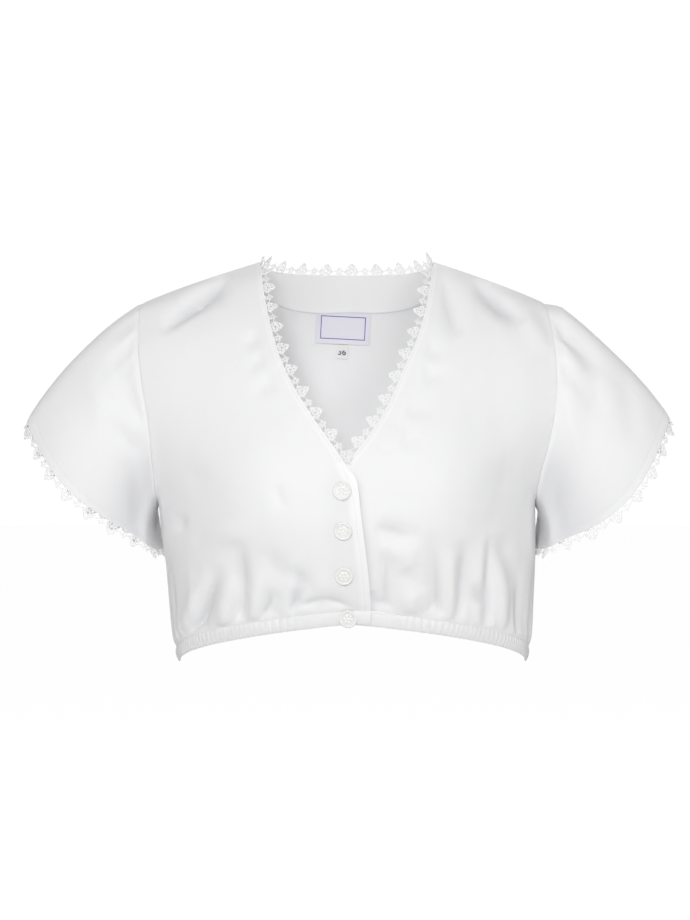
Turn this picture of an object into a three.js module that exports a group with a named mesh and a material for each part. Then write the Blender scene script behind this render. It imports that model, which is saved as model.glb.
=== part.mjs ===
// Cropped dirndl blouse in its worn, hollow form: two lapped fronts with a V neck, a back, two
// flared short sleeves with gathered heads, an elastic hem casing, a back neck facing, scalloped
// lace at the neck and cuffs, four buttons, a woven label and a size tab.
// Millimetres. +X is the wearer's left, -Y the front, +Z up. The origin lies midway between the
// shoulders, level with their outer ends, where the wearer carries the blouse.
import * as THREE from 'three';

// Cloth, seams and trims
const WALL = 1.2;
const SEAM_GAP = 0.3;
const CASING_WALL = 1.8;
const CASING_HEIGHT = 12;
const CASING_LEAN = 2.4;
const GATHER_PITCH = 5.6;
const GATHER_RISE = 0.7;
const GATHER_UNEVENNESS = 0.35;
const GATHER_CALM = { end: 24, start: 60 };
const LAP_STEP = 2.1;
const CASING_LAP_STEP = 2.3;
const LAP_FULL = 26;
const LAP_END = 80;
const LACE_WALL = 1.0;
const LACE_REPEAT = 24;
const LACE_END_GAP = 1.0;
const FACING_WALL = 1.0;
const FACING_SECTION = 12;
const FACING_END = 0.12;

// Lengths of the casing's pieces round the hem
const CASING_LENGTHS = { front: 216, back: 390 };

// Mesh density
const FRONT_COLUMNS = 20;
const BACK_NECK_COLUMNS = 6;
const BACK_SHOULDER_COLUMNS = 10;
const HEAD_SEGMENTS = 4;
const HEAD_SPLIT = 2;
const EDGE_STEP = 0.01;

// Back neck opening: its depth behind the shoulder line and its height at the centre back
const NECK_BACK = 60;
const NECK_RISE = 23.5;

const NECK_SECTION = 14;
const UNDERARM_SECTION = 5;
const RAMP_START = 9;

function table(names, lines) {
  return lines.map((line) => Object.fromEntries(line.map((value, k) => [names[k], value])));
}

// The outer edge of the fronts and the back: the side seam up to the underarm, then the armhole,
// which the front and the back take on their own sides. "rows" is the mesh rows up to the next
// section, "right" and "left" the distance from the centre, "turn" how far the cloth has turned
// from facing straight ahead, and "droop" how late in a row the height changes.
const OUTER = table(
  ['rows', 'right', 'left', 'frontY', 'frontZ', 'backY', 'backZ', 'turn', 'backTurn', 'droop'],
  [
    [2, 150.5, 155.0, 0, -302, 0, -302, 90, 90, 1.2],
    [3, 154.0, 157.5, 0, -292, 0, -292, 90, 90, 1.2],
    [3, 157.0, 159.0, 0, -262, 0, -262, 90, 90, 1.2],
    [3, 159.5, 160.5, 1, -232, 1, -232, 90, 90, 1.2],
    [2, 163.5, 161.0, 3, -205, 3, -205, 90, 90, 1.2],
    [1, 166.0, 160.5, 5, -178, 5, -178, 90, 90, 1.2],
    [1, 168.0, 161.5, -20, -170, 30, -168, 78, 76, 1.2],
    [2, 169.5, 164.0, -34, -153, 47, -150, 71, 66, 1.2],
    [2, 171.5, 170.0, -44, -130, 57, -124, 62, 59, 1.2],
    [2, 174.5, 175.5, -48, -104, 60, -97, 56, 56, 1.2],
    [2, 179.5, 178.5, -44, -74, 55, -67, 53, 56, 1.15],
    [2, 183.0, 177.5, -34, -46, 42, -42, 51, 59, 1.1],
    [1, 183.5, 174.5, -20, -24, 26, -23, 50, 60, 1.05],
    [1, 183.0, 172.0, -8, -10, 14, -10, 50, 60, 1.0],
    [0, 181.0, 169.5, 4, -3, 4, -3, 50, 60, 1.0],
  ],
);

// The inner edge of each front: the button edge up to the V's corner, then the V neckline.
// X is counted from the centre towards that front's own side, so a lap past it is negative.
const INNER = table(
  ['rightX', 'rightY', 'rightZ', 'leftX', 'leftY', 'leftZ'],
  [
    [-17.5, -97.0, -267.0, -18.0, -97.0, -267.0],
    [-17.2, -103.0, -258.0, -18.2, -102.9, -258.0],
    [-15.5, -112.0, -236.0, -18.8, -111.7, -236.0],
    [-12.5, -119.0, -211.0, -19.5, -118.5, -211.0],
    [-9.5, -122.5, -187.0, -20.0, -121.7, -187.0],
    [-5.5, -122.5, -157.0, -19.5, -121.6, -157.0],
    [2.5, -121.0, -146.0, -12.0, -121.2, -150.0],
    [10.0, -118.0, -134.0, 0.5, -118.9, -137.5],
    [31.0, -108.0, -104.5, 16.0, -112.0, -118.0],
    [49.0, -94.0, -75.5, 33.0, -98.0, -91.0],
    [60.0, -80.5, -52.0, 47.0, -80.5, -59.0],
    [68.0, -63.0, -26.0, 58.5, -63.0, -33.0],
    [73.0, -44.0, -4.0, 65.5, -44.0, -9.0],
    [76.5, -22.0, 18.0, 70.0, -22.0, 15.0],
    [78.0, 0.0, 33.0, 72.5, 0.0, 33.0],
  ],
);

// The centre back, from the casing to the neck
const CENTRE_BACK = table(
  ['y', 'z'],
  [
    [93, -259],
    [98, -249],
    [107, -220],
    [112, -191],
    [114, -163],
    [114.5, -136],
    [114, -121],
    [113, -104],
    [110, -82],
    [106, -60],
    [99.5, -38],
    [90, -18],
    [80, -3],
    [70, 10],
    [NECK_BACK, NECK_RISE],
  ],
);

// The cuff edges, from the top over the front, the underarm and the back, a row each 30 degrees
const CUFF_RIGHT = table(
  ['out', 'y', 'z'],
  [
    [280, 0, -106],
    [271, -22, -125],
    [256, -38, -149],
    [237, -45, -170],
    [212, -44, -188],
    [188, -32, -203],
    [171, -2, -216],
    [168, 27, -213],
    [184, 42, -203],
    [208, 48, -190],
    [235, 43, -169],
    [262, 25, -137],
  ],
);
const CUFF_LEFT = table(
  ['out', 'y', 'z'],
  [
    [277, 0, -103],
    [271, -21, -119],
    [258, -38, -146],
    [240, -46, -172],
    [215, -46, -193],
    [188, -34, -206],
    [168, -4, -216],
    [166, 25, -213],
    [184, 42, -203],
    [210, 48, -189],
    [238, 43, -165],
    [262, 24, -131],
  ],
);

// Sleeve rings from the armhole to the cuff, and how far the sleeve swells from a straight wall
const SLEEVE_RINGS = [0, 0.05, 0.13, 0.24, 0.38, 0.54, 0.7, 0.86, 1];
// Share of the seam's own lean that the wall keeps at the ring next to the armhole
const FOLD_SHARE = 0.7;
const SLEEVE_SWELL = { mean: 2.5, top: 6.5, power: 0.75 };

// Tucks of the gathered sleeve head: where round the sleeve, in degrees from its top towards the
// front, the depth, the width in degrees and the reach down the sleeve as a share of its length
const TUCKS = {
  right: table(
    ['around', 'depth', 'width', 'reach'],
    [
      [-42, -1.2, 8, 0.2],
      [-20, -1.5, 8, 0.24],
      [18, -1.4, 8, 0.22],
      [40, -1.8, 9, 0.3],
    ],
  ),
  left: table(
    ['around', 'depth', 'width', 'reach'],
    [
      [-42, -1.4, 8, 0.22],
      [-18, -1.8, 8, 0.25],
      [4, 3.2, 18, 0.3],
      [26, -3.2, 10, 0.34],
      [46, 2.2, 10, 0.28],
      [62, -1.8, 8, 0.3],
    ],
  ),
};

// Soft fullness of the fronts over the bust, and of the back over the shoulder blades
const FULLNESS = {
  front: table(
    ['x', 'z', 'rise', 'reachX', 'reachZ'],
    [
      [-84, -164, 9, 44, 48],
      [84, -164, 9, 44, 48],
    ],
  ),
  back: table(
    ['x', 'z', 'rise', 'reachX', 'reachZ'],
    [
      [-78, -70, 4, 45, 45],
      [78, -70, 4, 45, 45],
    ],
  ),
};

// Creases as soft troughs (depth below zero) and ridges, seen from the front or from behind:
// ends x1,z1 and x2,z2, depth, half width, and where between the ends it is deepest
const CREASE_COLUMNS = ['x1', 'z1', 'x2', 'z2', 'depth', 'width', 'deepest'];
const CREASES = {
  front: table(CREASE_COLUMNS, [
    [-110, -228, -135, -296, -5.5, 7, 0.8],
    [-124, -236, -146, -290, 2.5, 7, 0.7],
    [-96, -238, -112, -288, 3.0, 8, 0.8],
    [-90, -206, -95, -280, -3.6, 6, 0.8],
    [-78, -232, -84, -282, 2.4, 6, 0.8],
    [-64, -248, -75, -280, -3.4, 6, 0.7],
    [-45, -248, -50, -276, -3.0, 5, 0.7],
    [-41, -232, -47, -268, -2.2, 6, 0.6],
    [-42, -264, 4, -264, -1.6, 6, 0.5],
    [-34, -246, -4, -246, 1.6, 9, 0.5],
    [-112, 8, -164, -30, -4.5, 12, 0.4],
    [-100, 22, -150, 6, 2.0, 10, 0.5],
    [-76, -32, -94, -44, -1.4, 6, 0.3],
    [-72, -50, -90, -62, -1.4, 6, 0.3],
    [-64, -72, -84, -82, -1.4, 6, 0.3],
    [-63, -158, -55, -182, -1.4, 5, 0.5],
    [-140, -186, -148, -200, -2.0, 6, 0.5],
    [22, -194, 60, -206, -3.0, 7, 0.4],
    [20, -214, 58, -222, 1.8, 8, 0.5],
    [32, -210, 31, -276, -2.6, 6, 0.75],
    [18, -250, 27, -276, -3.0, 6, 0.7],
    [52, -214, 54, -276, 2.0, 8, 0.7],
    [70, -199, 78, -276, -3.6, 7, 0.75],
    [86, -214, 86, -276, 2.2, 6, 0.7],
    [98, -206, 93, -280, -3.2, 6, 0.75],
    [109, -242, 111, -266, -2.4, 5, 0.6],
    [116, -204, 120, -282, -3.4, 6, 0.75],
    [130, -216, 132, -284, 2.2, 6, 0.7],
    [142, -218, 147, -290, -3.0, 6, 0.75],
    [80, 22, 92, -34, -2.6, 9, 0.5],
    [114, 4, 148, -18, -4.0, 11, 0.5],
    [145, -4, 170, -46, 2.2, 9, 0.5],
    [64, -44, 82, -48, -1.3, 6, 0.3],
    [62, -68, 84, -66, -1.5, 6, 0.3],
    [48, -94, 72, -98, -1.5, 7, 0.3],
    [43, -120, 66, -124, -1.3, 7, 0.3],
  ]),
  back: table(CREASE_COLUMNS, [
    [-128, -212, -136, -292, -3.6, 8, 0.75],
    [-104, -218, -108, -284, 2.2, 8, 0.7],
    [-84, -196, -90, -278, -3.8, 8, 0.75],
    [-58, -214, -62, -272, 2.2, 8, 0.7],
    [-36, -188, -38, -264, -3.2, 8, 0.75],
    [-10, -208, -8, -262, 2.0, 8, 0.7],
    [16, -184, 18, -262, -3.4, 8, 0.75],
    [44, -206, 48, -268, 2.0, 8, 0.7],
    [70, -192, 76, -274, -3.8, 8, 0.75],
    [98, -212, 104, -282, 2.2, 8, 0.7],
    [124, -204, 132, -290, -3.6, 8, 0.75],
    [-60, -14, -120, -34, -2.0, 10, 0.4],
    [62, -12, 118, -36, -2.0, 10, 0.4],
  ]),
  sleeveFront: table(CREASE_COLUMNS, [
    [-203, -44, -178, -112, -2.6, 8, 0.6],
    [-222, -60, -206, -120, 1.6, 10, 0.5],
    [-211, -101, -178, -138, -2.2, 8, 0.6],
    [196, -40, 216, -106, -2.4, 9, 0.4],
    [184, -60, 196, -140, 1.8, 9, 0.5],
    [232, -70, 246, -130, -1.4, 9, 0.5],
  ]),
  sleeveBack: table(CREASE_COLUMNS, [
    [-206, -44, -184, -124, -2.4, 9, 0.6],
    [-236, -70, -226, -140, 1.6, 10, 0.5],
    [200, -42, 190, -128, -2.4, 9, 0.6],
    [236, -70, 228, -140, 1.6, 10, 0.5],
  ]),
};

// Cuff and neck lace: depth of the scallops along one repeat, a small flower and a large scallop
const LACE_OUTLINE = table(
  ['along', 'depth'],
  [
    [0.0, 2.4],
    [0.1, 7.2],
    [0.27, 7.2],
    [0.38, 2.4],
    [0.6, 10.2],
    [0.78, 10.2],
  ],
);

// Buttons: half profile of the carved face from the centre out, and their places on the front
const BUTTON_RADIUS = 7.8;
const BUTTON_STAND = 0.5;
const BUTTON_SIDES = 16;
const BUTTON_PROFILE = table(
  ['share', 'height'],
  [
    [0.0, 0.0],
    [0.86, 0.0],
    [1.0, 1.1],
    [0.95, 2.6],
    [0.8, 2.6],
    [0.68, 1.7],
    [0.3, 1.7],
    [0.0, 2.2],
  ],
);
const BUTTONS = table(
  ['x', 'z'],
  [
    [-6.9, -165.4],
    [-6.0, -199.0],
    [-5.2, -237.0],
    [-1.8, -273.8],
  ],
);

// Woven label and size tab on the inside of the back, hung below the facing
const LABEL = table(
  ['x', 'z', 'width', 'height', 'lean', 'wall', 'columns', 'rows'],
  [[-6.1, -21.7, 48, 28.5, -0.05, 0.6, 8, 3]],
)[0];
const TAB = table(
  ['x', 'z', 'width', 'height', 'lean', 'wall', 'columns', 'rows'],
  [[-7.1, -42.6, 11, 12.3, -0.05, 0.5, 2, 2]],
)[0];

const COTTON = { color: 0xf3f4f7, roughness: 0.62, metalness: 0 };
const LACE_THREAD = { color: 0xf5f5f4, roughness: 0.7, metalness: 0 };
const PEARL = { color: 0xf1efea, roughness: 0.25, metalness: 0 };
const LABEL_SATIN = { color: 0xe2dcee, roughness: 0.5, metalness: 0 };
const TAB_SATIN = { color: 0xf4f3f2, roughness: 0.5, metalness: 0 };

const SIDES = {
  right: { name: 'right', sign: -1, cuff: CUFF_RIGHT },
  left: { name: 'left', sign: 1, cuff: CUFF_LEFT },
};

const { clamp, degToRad, lerp, smoothstep } = THREE.MathUtils;

// Smooth value of a table's column at place t, counted in rows; "closed" joins the last to the
// first, and at the row "corner" the curve may turn
function along(rows, name, t, { closed = false, corner = -1 } = {}) {
  const last = rows.length - 1;
  const k = closed ? Math.floor(t) : clamp(Math.floor(t), 0, last - 1);
  const f = t - k;
  const lowest = corner >= 0 && k >= corner ? corner : 0;
  const highest = corner >= 0 && k < corner ? corner : last;
  const at = (i) => {
    if (closed) return rows[((i % rows.length) + rows.length) % rows.length][name];
    if (i < lowest) return 2 * rows[lowest][name] - rows[lowest + 1][name];
    if (i > highest) return 2 * rows[highest][name] - rows[highest - 1][name];
    return rows[i][name];
  };
  const [a, b, c, d] = [at(k - 1), at(k), at(k + 1), at(k + 2)];
  return b + 0.5 * f * (c - a + f * (2 * a - 5 * b + 4 * c - d + f * (3 * (b - c) + d - a)));
}

// Places of the mesh rows, in sections
function rowPlaces() {
  const places = [];
  OUTER.forEach((section, k) => {
    for (let j = 0; j < section.rows; j += 1) places.push(k + j / section.rows);
  });
  places.push(NECK_SECTION);
  return places;
}
const ROWS = rowPlaces();
const UNDERARM_ROW = ROWS.indexOf(UNDERARM_SECTION);
const TOP_ROW = ROWS.length - 1;

// One row of a panel: an arc from the inner point, turned "turnIn", to the outer one
function arcPoint(inner, outer, turnOut, droop, u) {
  const turnIn = Math.asin((inner.x * Math.sin(turnOut)) / outer.x);
  const turn = lerp(turnIn, turnOut, u);
  const from = Math.max(turnIn, 0);
  const down = (Math.max(turn - from, 0) / (turnOut - from)) ** droop;
  const across = (Math.sin(turn) - Math.sin(turnIn)) / (Math.sin(turnOut) - Math.sin(turnIn));
  const round = (Math.cos(turnIn) - Math.cos(turn)) / (Math.cos(turnIn) - Math.cos(turnOut));
  return new THREE.Vector3(
    lerp(inner.x, outer.x, across),
    lerp(inner.y, outer.y, round),
    lerp(inner.z, outer.z, down),
  );
}

// The side seam and armhole, which turn a corner at the underarm
const atUnderarm = { corner: UNDERARM_SECTION };

function outerPoint(side, panel, t) {
  return {
    x: along(OUTER, side.name, t, atUnderarm),
    y: along(OUTER, `${panel}Y`, t, atUnderarm),
    z: along(OUTER, `${panel}Z`, t, atUnderarm),
  };
}

function outerTurn(name, t) {
  return degToRad(along(OUTER, name, t, atUnderarm));
}

function frontPoint(side, u, t) {
  const inner = {
    x: along(INNER, `${side.name}X`, t),
    y: along(INNER, `${side.name}Y`, t),
    z: along(INNER, `${side.name}Z`, t),
  };
  return arcPoint(inner, outerPoint(side, 'front', t), outerTurn('turn', t), along(OUTER, 'droop', t), u);
}

function backArc(side, u, t) {
  const inner = { x: 0, y: along(CENTRE_BACK, 'y', t), z: along(CENTRE_BACK, 'z', t) };
  return arcPoint(inner, outerPoint(side, 'back', t), outerTurn('backTurn', t), along(OUTER, 'droop', t), u);
}

const BACK_COLUMNS = BACK_NECK_COLUMNS + BACK_SHOULDER_COLUMNS;
const NECK_SHARE = BACK_NECK_COLUMNS / BACK_COLUMNS;

// The back's top edge: half the neckline, then the shoulder seam
function backTop(side, u) {
  const neckX = INNER[NECK_SECTION][`${side.name}X`];
  if (u <= NECK_SHARE) {
    const turn = (u / NECK_SHARE) * (Math.PI / 2);
    const lift = INNER[NECK_SECTION][`${side.name}Z`] - NECK_RISE;
    return new THREE.Vector3(
      neckX * Math.sin(turn),
      NECK_BACK * Math.cos(turn),
      NECK_RISE + lift * (1 - Math.cos(turn)) ** 2,
    );
  }
  return frontPoint(side, (u - NECK_SHARE) / (1 - NECK_SHARE), NECK_SECTION);
}

// Above the blades the back is drawn forward and up to its top edge
function backPoint(side, u, t) {
  const point = backArc(side, u, t);
  const ramp = clamp((t - RAMP_START) / (NECK_SECTION - RAMP_START), 0, 1) ** 2;
  const pull = backTop(side, u).sub(backArc(side, u, NECK_SECTION));
  return point.addScaledVector(pull, ramp);
}

// Height of the creases and the fullness at a place seen from the front or from behind
function creaseHeight(list, x, z) {
  return list.reduce((sum, fold) => {
    const dx = fold.x2 - fold.x1;
    const dz = fold.z2 - fold.z1;
    const share = ((x - fold.x1) * dx + (z - fold.z1) * dz) / (dx * dx + dz * dz);
    const away = Math.hypot(x - fold.x1 - share * dx, z - fold.z1 - share * dz);
    const reach = share < fold.deepest ? fold.deepest : 1 - fold.deepest;
    const fade = Math.max(0, 1 - ((share - fold.deepest) / reach) ** 2);
    return sum + fold.depth * fade * Math.exp(-((away / fold.width) ** 2));
  }, 0);
}

function fullnessHeight(list, x, z) {
  return list.reduce((sum, swell) => {
    const spread = ((x - swell.x) / swell.reachX) ** 2 + ((z - swell.z) / swell.reachZ) ** 2;
    return sum + swell.rise * Math.exp(-spread);
  }, 0);
}

// Faces of a grid, turned to point outwards when "flip" is set
function gridFaces(rows, columns, flip, closed = false) {
  const faces = [];
  const width = closed ? columns : columns + 1;
  for (let i = 0; i < rows; i += 1) {
    for (let j = 0; j < columns; j += 1) {
      const next = closed ? (j + 1) % columns : j + 1;
      const quad = [i * width + j, i * width + next, (i + 1) * width + next, (i + 1) * width + j];
      faces.push(flip ? quad.reverse() : quad);
    }
  }
  return faces;
}

// A sheet of cloth: points with normals, and four-sided faces
class Sheet {
  constructor(points, faces) {
    this.points = points;
    this.faces = faces;
    this.shifts = points.map(() => new THREE.Vector3());
    this.rises = points.map(() => 0);
    this.findNormals();
  }

  findNormals() {
    this.normals = this.points.map(() => new THREE.Vector3());
    this.faces.forEach((face) => {
      const [a, b, c, d] = face.map((k) => this.points[k]);
      const normal = c.clone().sub(a).cross(d.clone().sub(b));
      face.forEach((k) => this.normals[k].add(normal));
    });
    this.normals.forEach((normal) => normal.normalize());
  }

  displace(height) {
    this.points.forEach((point, k) => point.addScaledVector(this.normals[k], height(point, k)));
    this.findNormals();
  }

  // A closed wall round the sheet, "outer" above it and "inner" below it
  wall(outer, inner) {
    const count = this.points.length;
    const positions = [];
    const layer = (offset, lift) => {
      this.points.forEach((point, k) => {
        const place = point.clone().add(this.shifts[k]);
        place.addScaledVector(this.normals[k], offset + lift * this.rises[k]);
        positions.push(place.x, place.y, place.z);
      });
    };
    layer(outer, 1);
    layer(-inner, 0);
    const index = [];
    const edges = new Map();
    const quad = (a, b, c, d) => index.push(a, b, c, a, c, d);
    this.faces.forEach(([a, b, c, d]) => {
      quad(a, b, c, d);
      index.push(a + count, c + count, b + count, a + count, d + count, c + count);
      [[a, b], [b, c], [c, d], [d, a]].forEach(([p, q]) => edges.set(`${p} ${q}`, [p, q]));
    });
    edges.forEach(([p, q]) => {
      if (!edges.has(`${q} ${p}`)) quad(q, p, p + count, q + count);
    });
    const geometry = new THREE.BufferGeometry();
    geometry.setAttribute('position', new THREE.Float32BufferAttribute(positions, 3));
    geometry.setIndex(index);
    geometry.computeVertexNormals();
    return geometry;
  }
}

// A fold's fading near a seam, so that both pieces meet on the same line
const nearSeam = (distance, reach) => smoothstep(distance, 0, reach);

function lapInset(x, step) {
  return -step * (1 - smoothstep(x, LAP_FULL, LAP_END));
}

// The odd columns of the front's top edge lie straight between their neighbours on the seam
function buildFront(side) {
  const points = [];
  const places = [];
  ROWS.forEach((t) => {
    for (let j = 0; j <= FRONT_COLUMNS; j += 1) {
      const u = j / FRONT_COLUMNS;
      const point = frontPoint(side, u, t);
      if (t === NECK_SECTION && j % 2 === 1) {
        const before = frontPoint(side, (j - 1) / FRONT_COLUMNS, t);
        point.copy(frontPoint(side, (j + 1) / FRONT_COLUMNS, t).add(before).multiplyScalar(0.5));
      }
      point.x *= side.sign;
      points.push(point);
      places.push({ u, t });
    }
  });
  const sheet = new Sheet(points, gridFaces(TOP_ROW, FRONT_COLUMNS, side.sign < 0));
  sheet.columns = FRONT_COLUMNS;
  sheet.displace((point, k) => {
    const { u, t } = places[k];
    const seam = nearSeam(1 - u, 0.1) * nearSeam(NECK_SECTION - t, 0.8) * nearSeam(t, 1);
    const relief = creaseHeight(CREASES.front, point.x, point.z);
    const full = fullnessHeight(FULLNESS.front, point.x, point.z);
    const lap = side === SIDES.left ? lapInset(point.x, LAP_STEP) : 0;
    return seam * relief + nearSeam(t, 2) * nearSeam(1 - u, 0.3) * full + lap;
  });
  return sheet;
}

// The back is one piece: the wearer's right half, mirrored in its columns, then the left half
function buildBack() {
  const points = [];
  const places = [];
  ROWS.forEach((t) => {
    for (let j = -BACK_COLUMNS; j <= BACK_COLUMNS; j += 1) {
      const side = j < 0 ? SIDES.right : SIDES.left;
      const u = Math.abs(j) / BACK_COLUMNS;
      const point = backPoint(side, u, t);
      point.x *= side.sign;
      points.push(point);
      places.push({ u, t });
    }
  });
  const sheet = new Sheet(points, gridFaces(TOP_ROW, 2 * BACK_COLUMNS, true));
  sheet.columns = 2 * BACK_COLUMNS;
  sheet.displace((point, k) => {
    const { u, t } = places[k];
    const seam = nearSeam(1 - u, 0.12) * nearSeam(NECK_SECTION - t, 1.5) * nearSeam(t, 1);
    const relief = creaseHeight(CREASES.back, point.x, point.z);
    return seam * (relief + fullnessHeight(FULLNESS.back, point.x, point.z));
  });
  return sheet;
}

const vertexAt = (sheet, row, column) => row * (sheet.columns + 1) + column;

// Two sheets that meet in a flat seam share its normals and stand half the gap back on each side
function joinEdges(first, firstEdge, second, secondEdge) {
  firstEdge.forEach((a, k) => {
    const b = secondEdge[k];
    const normal = first.normals[a].clone().add(second.normals[b]).normalize();
    first.normals[a].copy(normal);
    second.normals[b].copy(normal);
  });
}

function shiftEdge(sheet, edge, towards) {
  edge.forEach((k, i) => sheet.shifts[k].addScaledVector(towards[i], SEAM_GAP / 2));
}

// Unit steps from an edge into the sheet, from the vertices one column or row inside it
function stepsIn(sheet, edge, inside) {
  return edge.map((k, i) => {
    const before = sheet.points[edge[Math.max(i - 1, 0)]];
    const after = sheet.points[edge[Math.min(i + 1, edge.length - 1)]];
    const run = after.clone().sub(before).normalize();
    const step = sheet.points[inside[i]].clone().sub(sheet.points[k]);
    return step.addScaledVector(run, -step.dot(run)).normalize();
  });
}

const range = (from, to) => Array.from({ length: to - from + 1 }, (_, k) => from + k);

function joinBody(fronts, back) {
  Object.values(SIDES).forEach((side) => {
    const front = fronts[side.name];
    const backColumn = side.sign < 0 ? 0 : back.columns;
    const sideRows = range(0, UNDERARM_ROW);
    const frontSide = sideRows.map((i) => vertexAt(front, i, FRONT_COLUMNS));
    const backSide = sideRows.map((i) => vertexAt(back, i, backColumn));
    joinEdges(front, frontSide, back, backSide);
    shiftEdge(front, frontSide, frontSide.map(() => new THREE.Vector3(0, -1, 0)));
    shiftEdge(back, backSide, backSide.map(() => new THREE.Vector3(0, 1, 0)));

    const middle = BACK_COLUMNS;
    const seamColumns = range(0, BACK_SHOULDER_COLUMNS);
    const frontTop = seamColumns.map((j) => vertexAt(front, TOP_ROW, 2 * j));
    const backTopEdge = seamColumns.map((j) =>
      vertexAt(back, TOP_ROW, middle + side.sign * (BACK_NECK_COLUMNS + j)));
    joinEdges(front, frontTop, back, backTopEdge);
    const frontIn = stepsIn(front, frontTop, frontTop.map((k) => k - front.columns - 1));
    shiftEdge(front, frontTop, frontIn);
    shiftEdge(back, backTopEdge, frontIn.map((step) => step.clone().negate()));
    seamColumns.slice(1).forEach((j) => {
      const [a, b, c] = [2 * j - 2, 2 * j - 1, 2 * j].map((column) => vertexAt(front, TOP_ROW, column));
      front.normals[b].copy(front.normals[a]).add(front.normals[c]).multiplyScalar(0.5);
      front.shifts[b].copy(front.shifts[a]).add(front.shifts[c]).multiplyScalar(0.5);
    });
  });
  [fronts.right, fronts.left, back].forEach(levelBottom);
}

// Along the casing the panels' walls stand upright, so their lower edges stay level
function levelBottom(sheet) {
  sheet.normals.slice(0, sheet.columns + 1).forEach((normal) => normal.setZ(0).normalize());
}

// The armhole as one loop: down the front from the shoulder, through the underarm, up the back.
function armholeLoop(side, front, back) {
  const backColumn = side.sign < 0 ? 0 : back.columns;
  const onFront = (row) => ({ sheet: front, vertex: vertexAt(front, row, FRONT_COLUMNS) });
  const onBack = (row) => ({ sheet: back, vertex: vertexAt(back, row, backColumn) });
  const down = range(UNDERARM_ROW, TOP_ROW).reverse().map((row) => [onFront(row)]);
  const up = range(UNDERARM_ROW + 1, TOP_ROW - 1).map((row) => [onBack(row)]);
  down[0].push(onBack(TOP_ROW));
  down[down.length - 1].push(onBack(UNDERARM_ROW));
  return [...down, ...up].map((corners) => {
    const [{ sheet, vertex }] = corners;
    return { corners, point: sheet.points[vertex].clone() };
  });
}

function cuffPoint(side, share) {
  const t = share * side.cuff.length;
  return new THREE.Vector3(
    side.sign * along(side.cuff, 'out', t, { closed: true }),
    along(side.cuff, 'y', t, { closed: true }),
    along(side.cuff, 'z', t, { closed: true }),
  );
}

// The sleeve's start ring: the armhole's own vertices, with more of them on the same straight
// lines round the head, each with its share of the way round
function sleeveStart(loop) {
  const count = loop.length;
  const ring = [];
  loop.forEach((stop, k) => {
    const nearHead = k < HEAD_SEGMENTS || k >= count - HEAD_SEGMENTS;
    const parts = nearHead ? HEAD_SPLIT : 1;
    for (let j = 0; j < parts; j += 1) ring.push({ from: k, to: (k + 1) % count, f: j / parts });
  });
  return ring.map((spot) => ({ ...spot, share: (spot.from + spot.f) / count }));
}

function buildSleeve(side, front, back) {
  const loop = armholeLoop(side, front, back);
  const ring = sleeveStart(loop);
  const columns = ring.length;
  const start = ring.map((spot) => loop[spot.from].point.clone().lerp(loop[spot.to].point, spot.f));
  const points = [];
  const places = [];
  SLEEVE_RINGS.forEach((w) => {
    ring.forEach((spot, k) => {
      points.push(start[k].clone().lerp(cuffPoint(side, spot.share), w));
      const degrees = spot.share * 360;
      places.push({ w, degrees: degrees > 180 ? degrees - 360 : degrees });
    });
  });
  const sheet = new Sheet(points, gridFaces(SLEEVE_RINGS.length - 1, columns, side.sign < 0, true));
  sheet.displace((point, k) => {
    const { w, degrees } = places[k];
    const turn = degToRad(degrees);
    const swell = SLEEVE_SWELL.mean + SLEEVE_SWELL.top * Math.cos(turn);
    const rounded = swell * Math.sin(Math.PI * w) ** SLEEVE_SWELL.power;
    const tucks = TUCKS[side.name].reduce((sum, tuck) => {
      const across = Math.exp(-(((degrees - tuck.around) / tuck.width) ** 2));
      return sum + tuck.depth * across * Math.exp(-((w / tuck.reach) ** 2));
    }, 0);
    const list = degrees > 0 ? CREASES.sleeveFront : CREASES.sleeveBack;
    const facing = smoothstep(Math.abs(Math.sin(turn)), 0.1, 0.5);
    const relief = facing * creaseHeight(list, point.x, point.z) * nearSeam(1 - w, 0.12);
    return rounded * (w > 0 && w < 1 ? 1 : 0) + nearSeam(w, 0.1) * (tucks + relief);
  });
  joinSleeve(side, sheet, loop, ring);
  return { sheet, ring, columns };
}

// At the armhole the wall's edge lies in the plane that halves the fold between sleeve and body
function joinSleeve(side, sheet, loop, ring) {
  const columns = ring.length;
  const intoSheet = (panel, vertex, run, like) => {
    const step = panel.normals[vertex].clone().cross(run).normalize();
    return step.dot(like) < 0 ? step.negate() : step;
  };
  let previous = new THREE.Vector3(0, 0, 1);
  let body = new THREE.Vector3(-side.sign, 0, 0);
  let sleeve = body.clone().negate();
  loop.forEach((stop, k) => {
    const before = loop[(k + loop.length - 1) % loop.length].point;
    const run = loop[(k + 1) % loop.length].point.clone().sub(before).normalize();
    const steps = stop.corners.map((corner) => intoSheet(corner.sheet, corner.vertex, run, body));
    body = steps.reduce((sum, step) => sum.add(step), new THREE.Vector3()).normalize();
    sleeve = intoSheet(sheet, ring.findIndex((spot) => spot.from === k), run, sleeve);
    stop.across = body.clone().sub(sleeve).normalize();
    stop.normal = run.clone().cross(stop.across).normalize();
    if (stop.normal.dot(previous) < 0) stop.normal.negate();
    previous = stop.normal;
    stop.corners.forEach((corner) => {
      corner.sheet.normals[corner.vertex].copy(stop.normal);
      corner.sheet.shifts[corner.vertex].addScaledVector(stop.across, SEAM_GAP / 2);
    });
  });
  ring.forEach((spot, k) => {
    const [a, b] = [loop[spot.from], loop[spot.to]];
    sheet.normals[k].copy(a.normal).lerp(b.normal, spot.f);
    sheet.shifts[k].copy(a.across).lerp(b.across, spot.f).multiplyScalar(-SEAM_GAP / 2);
    sheet.normals[k + columns].lerp(sheet.normals[k], FOLD_SHARE).normalize();
  });
}

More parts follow.
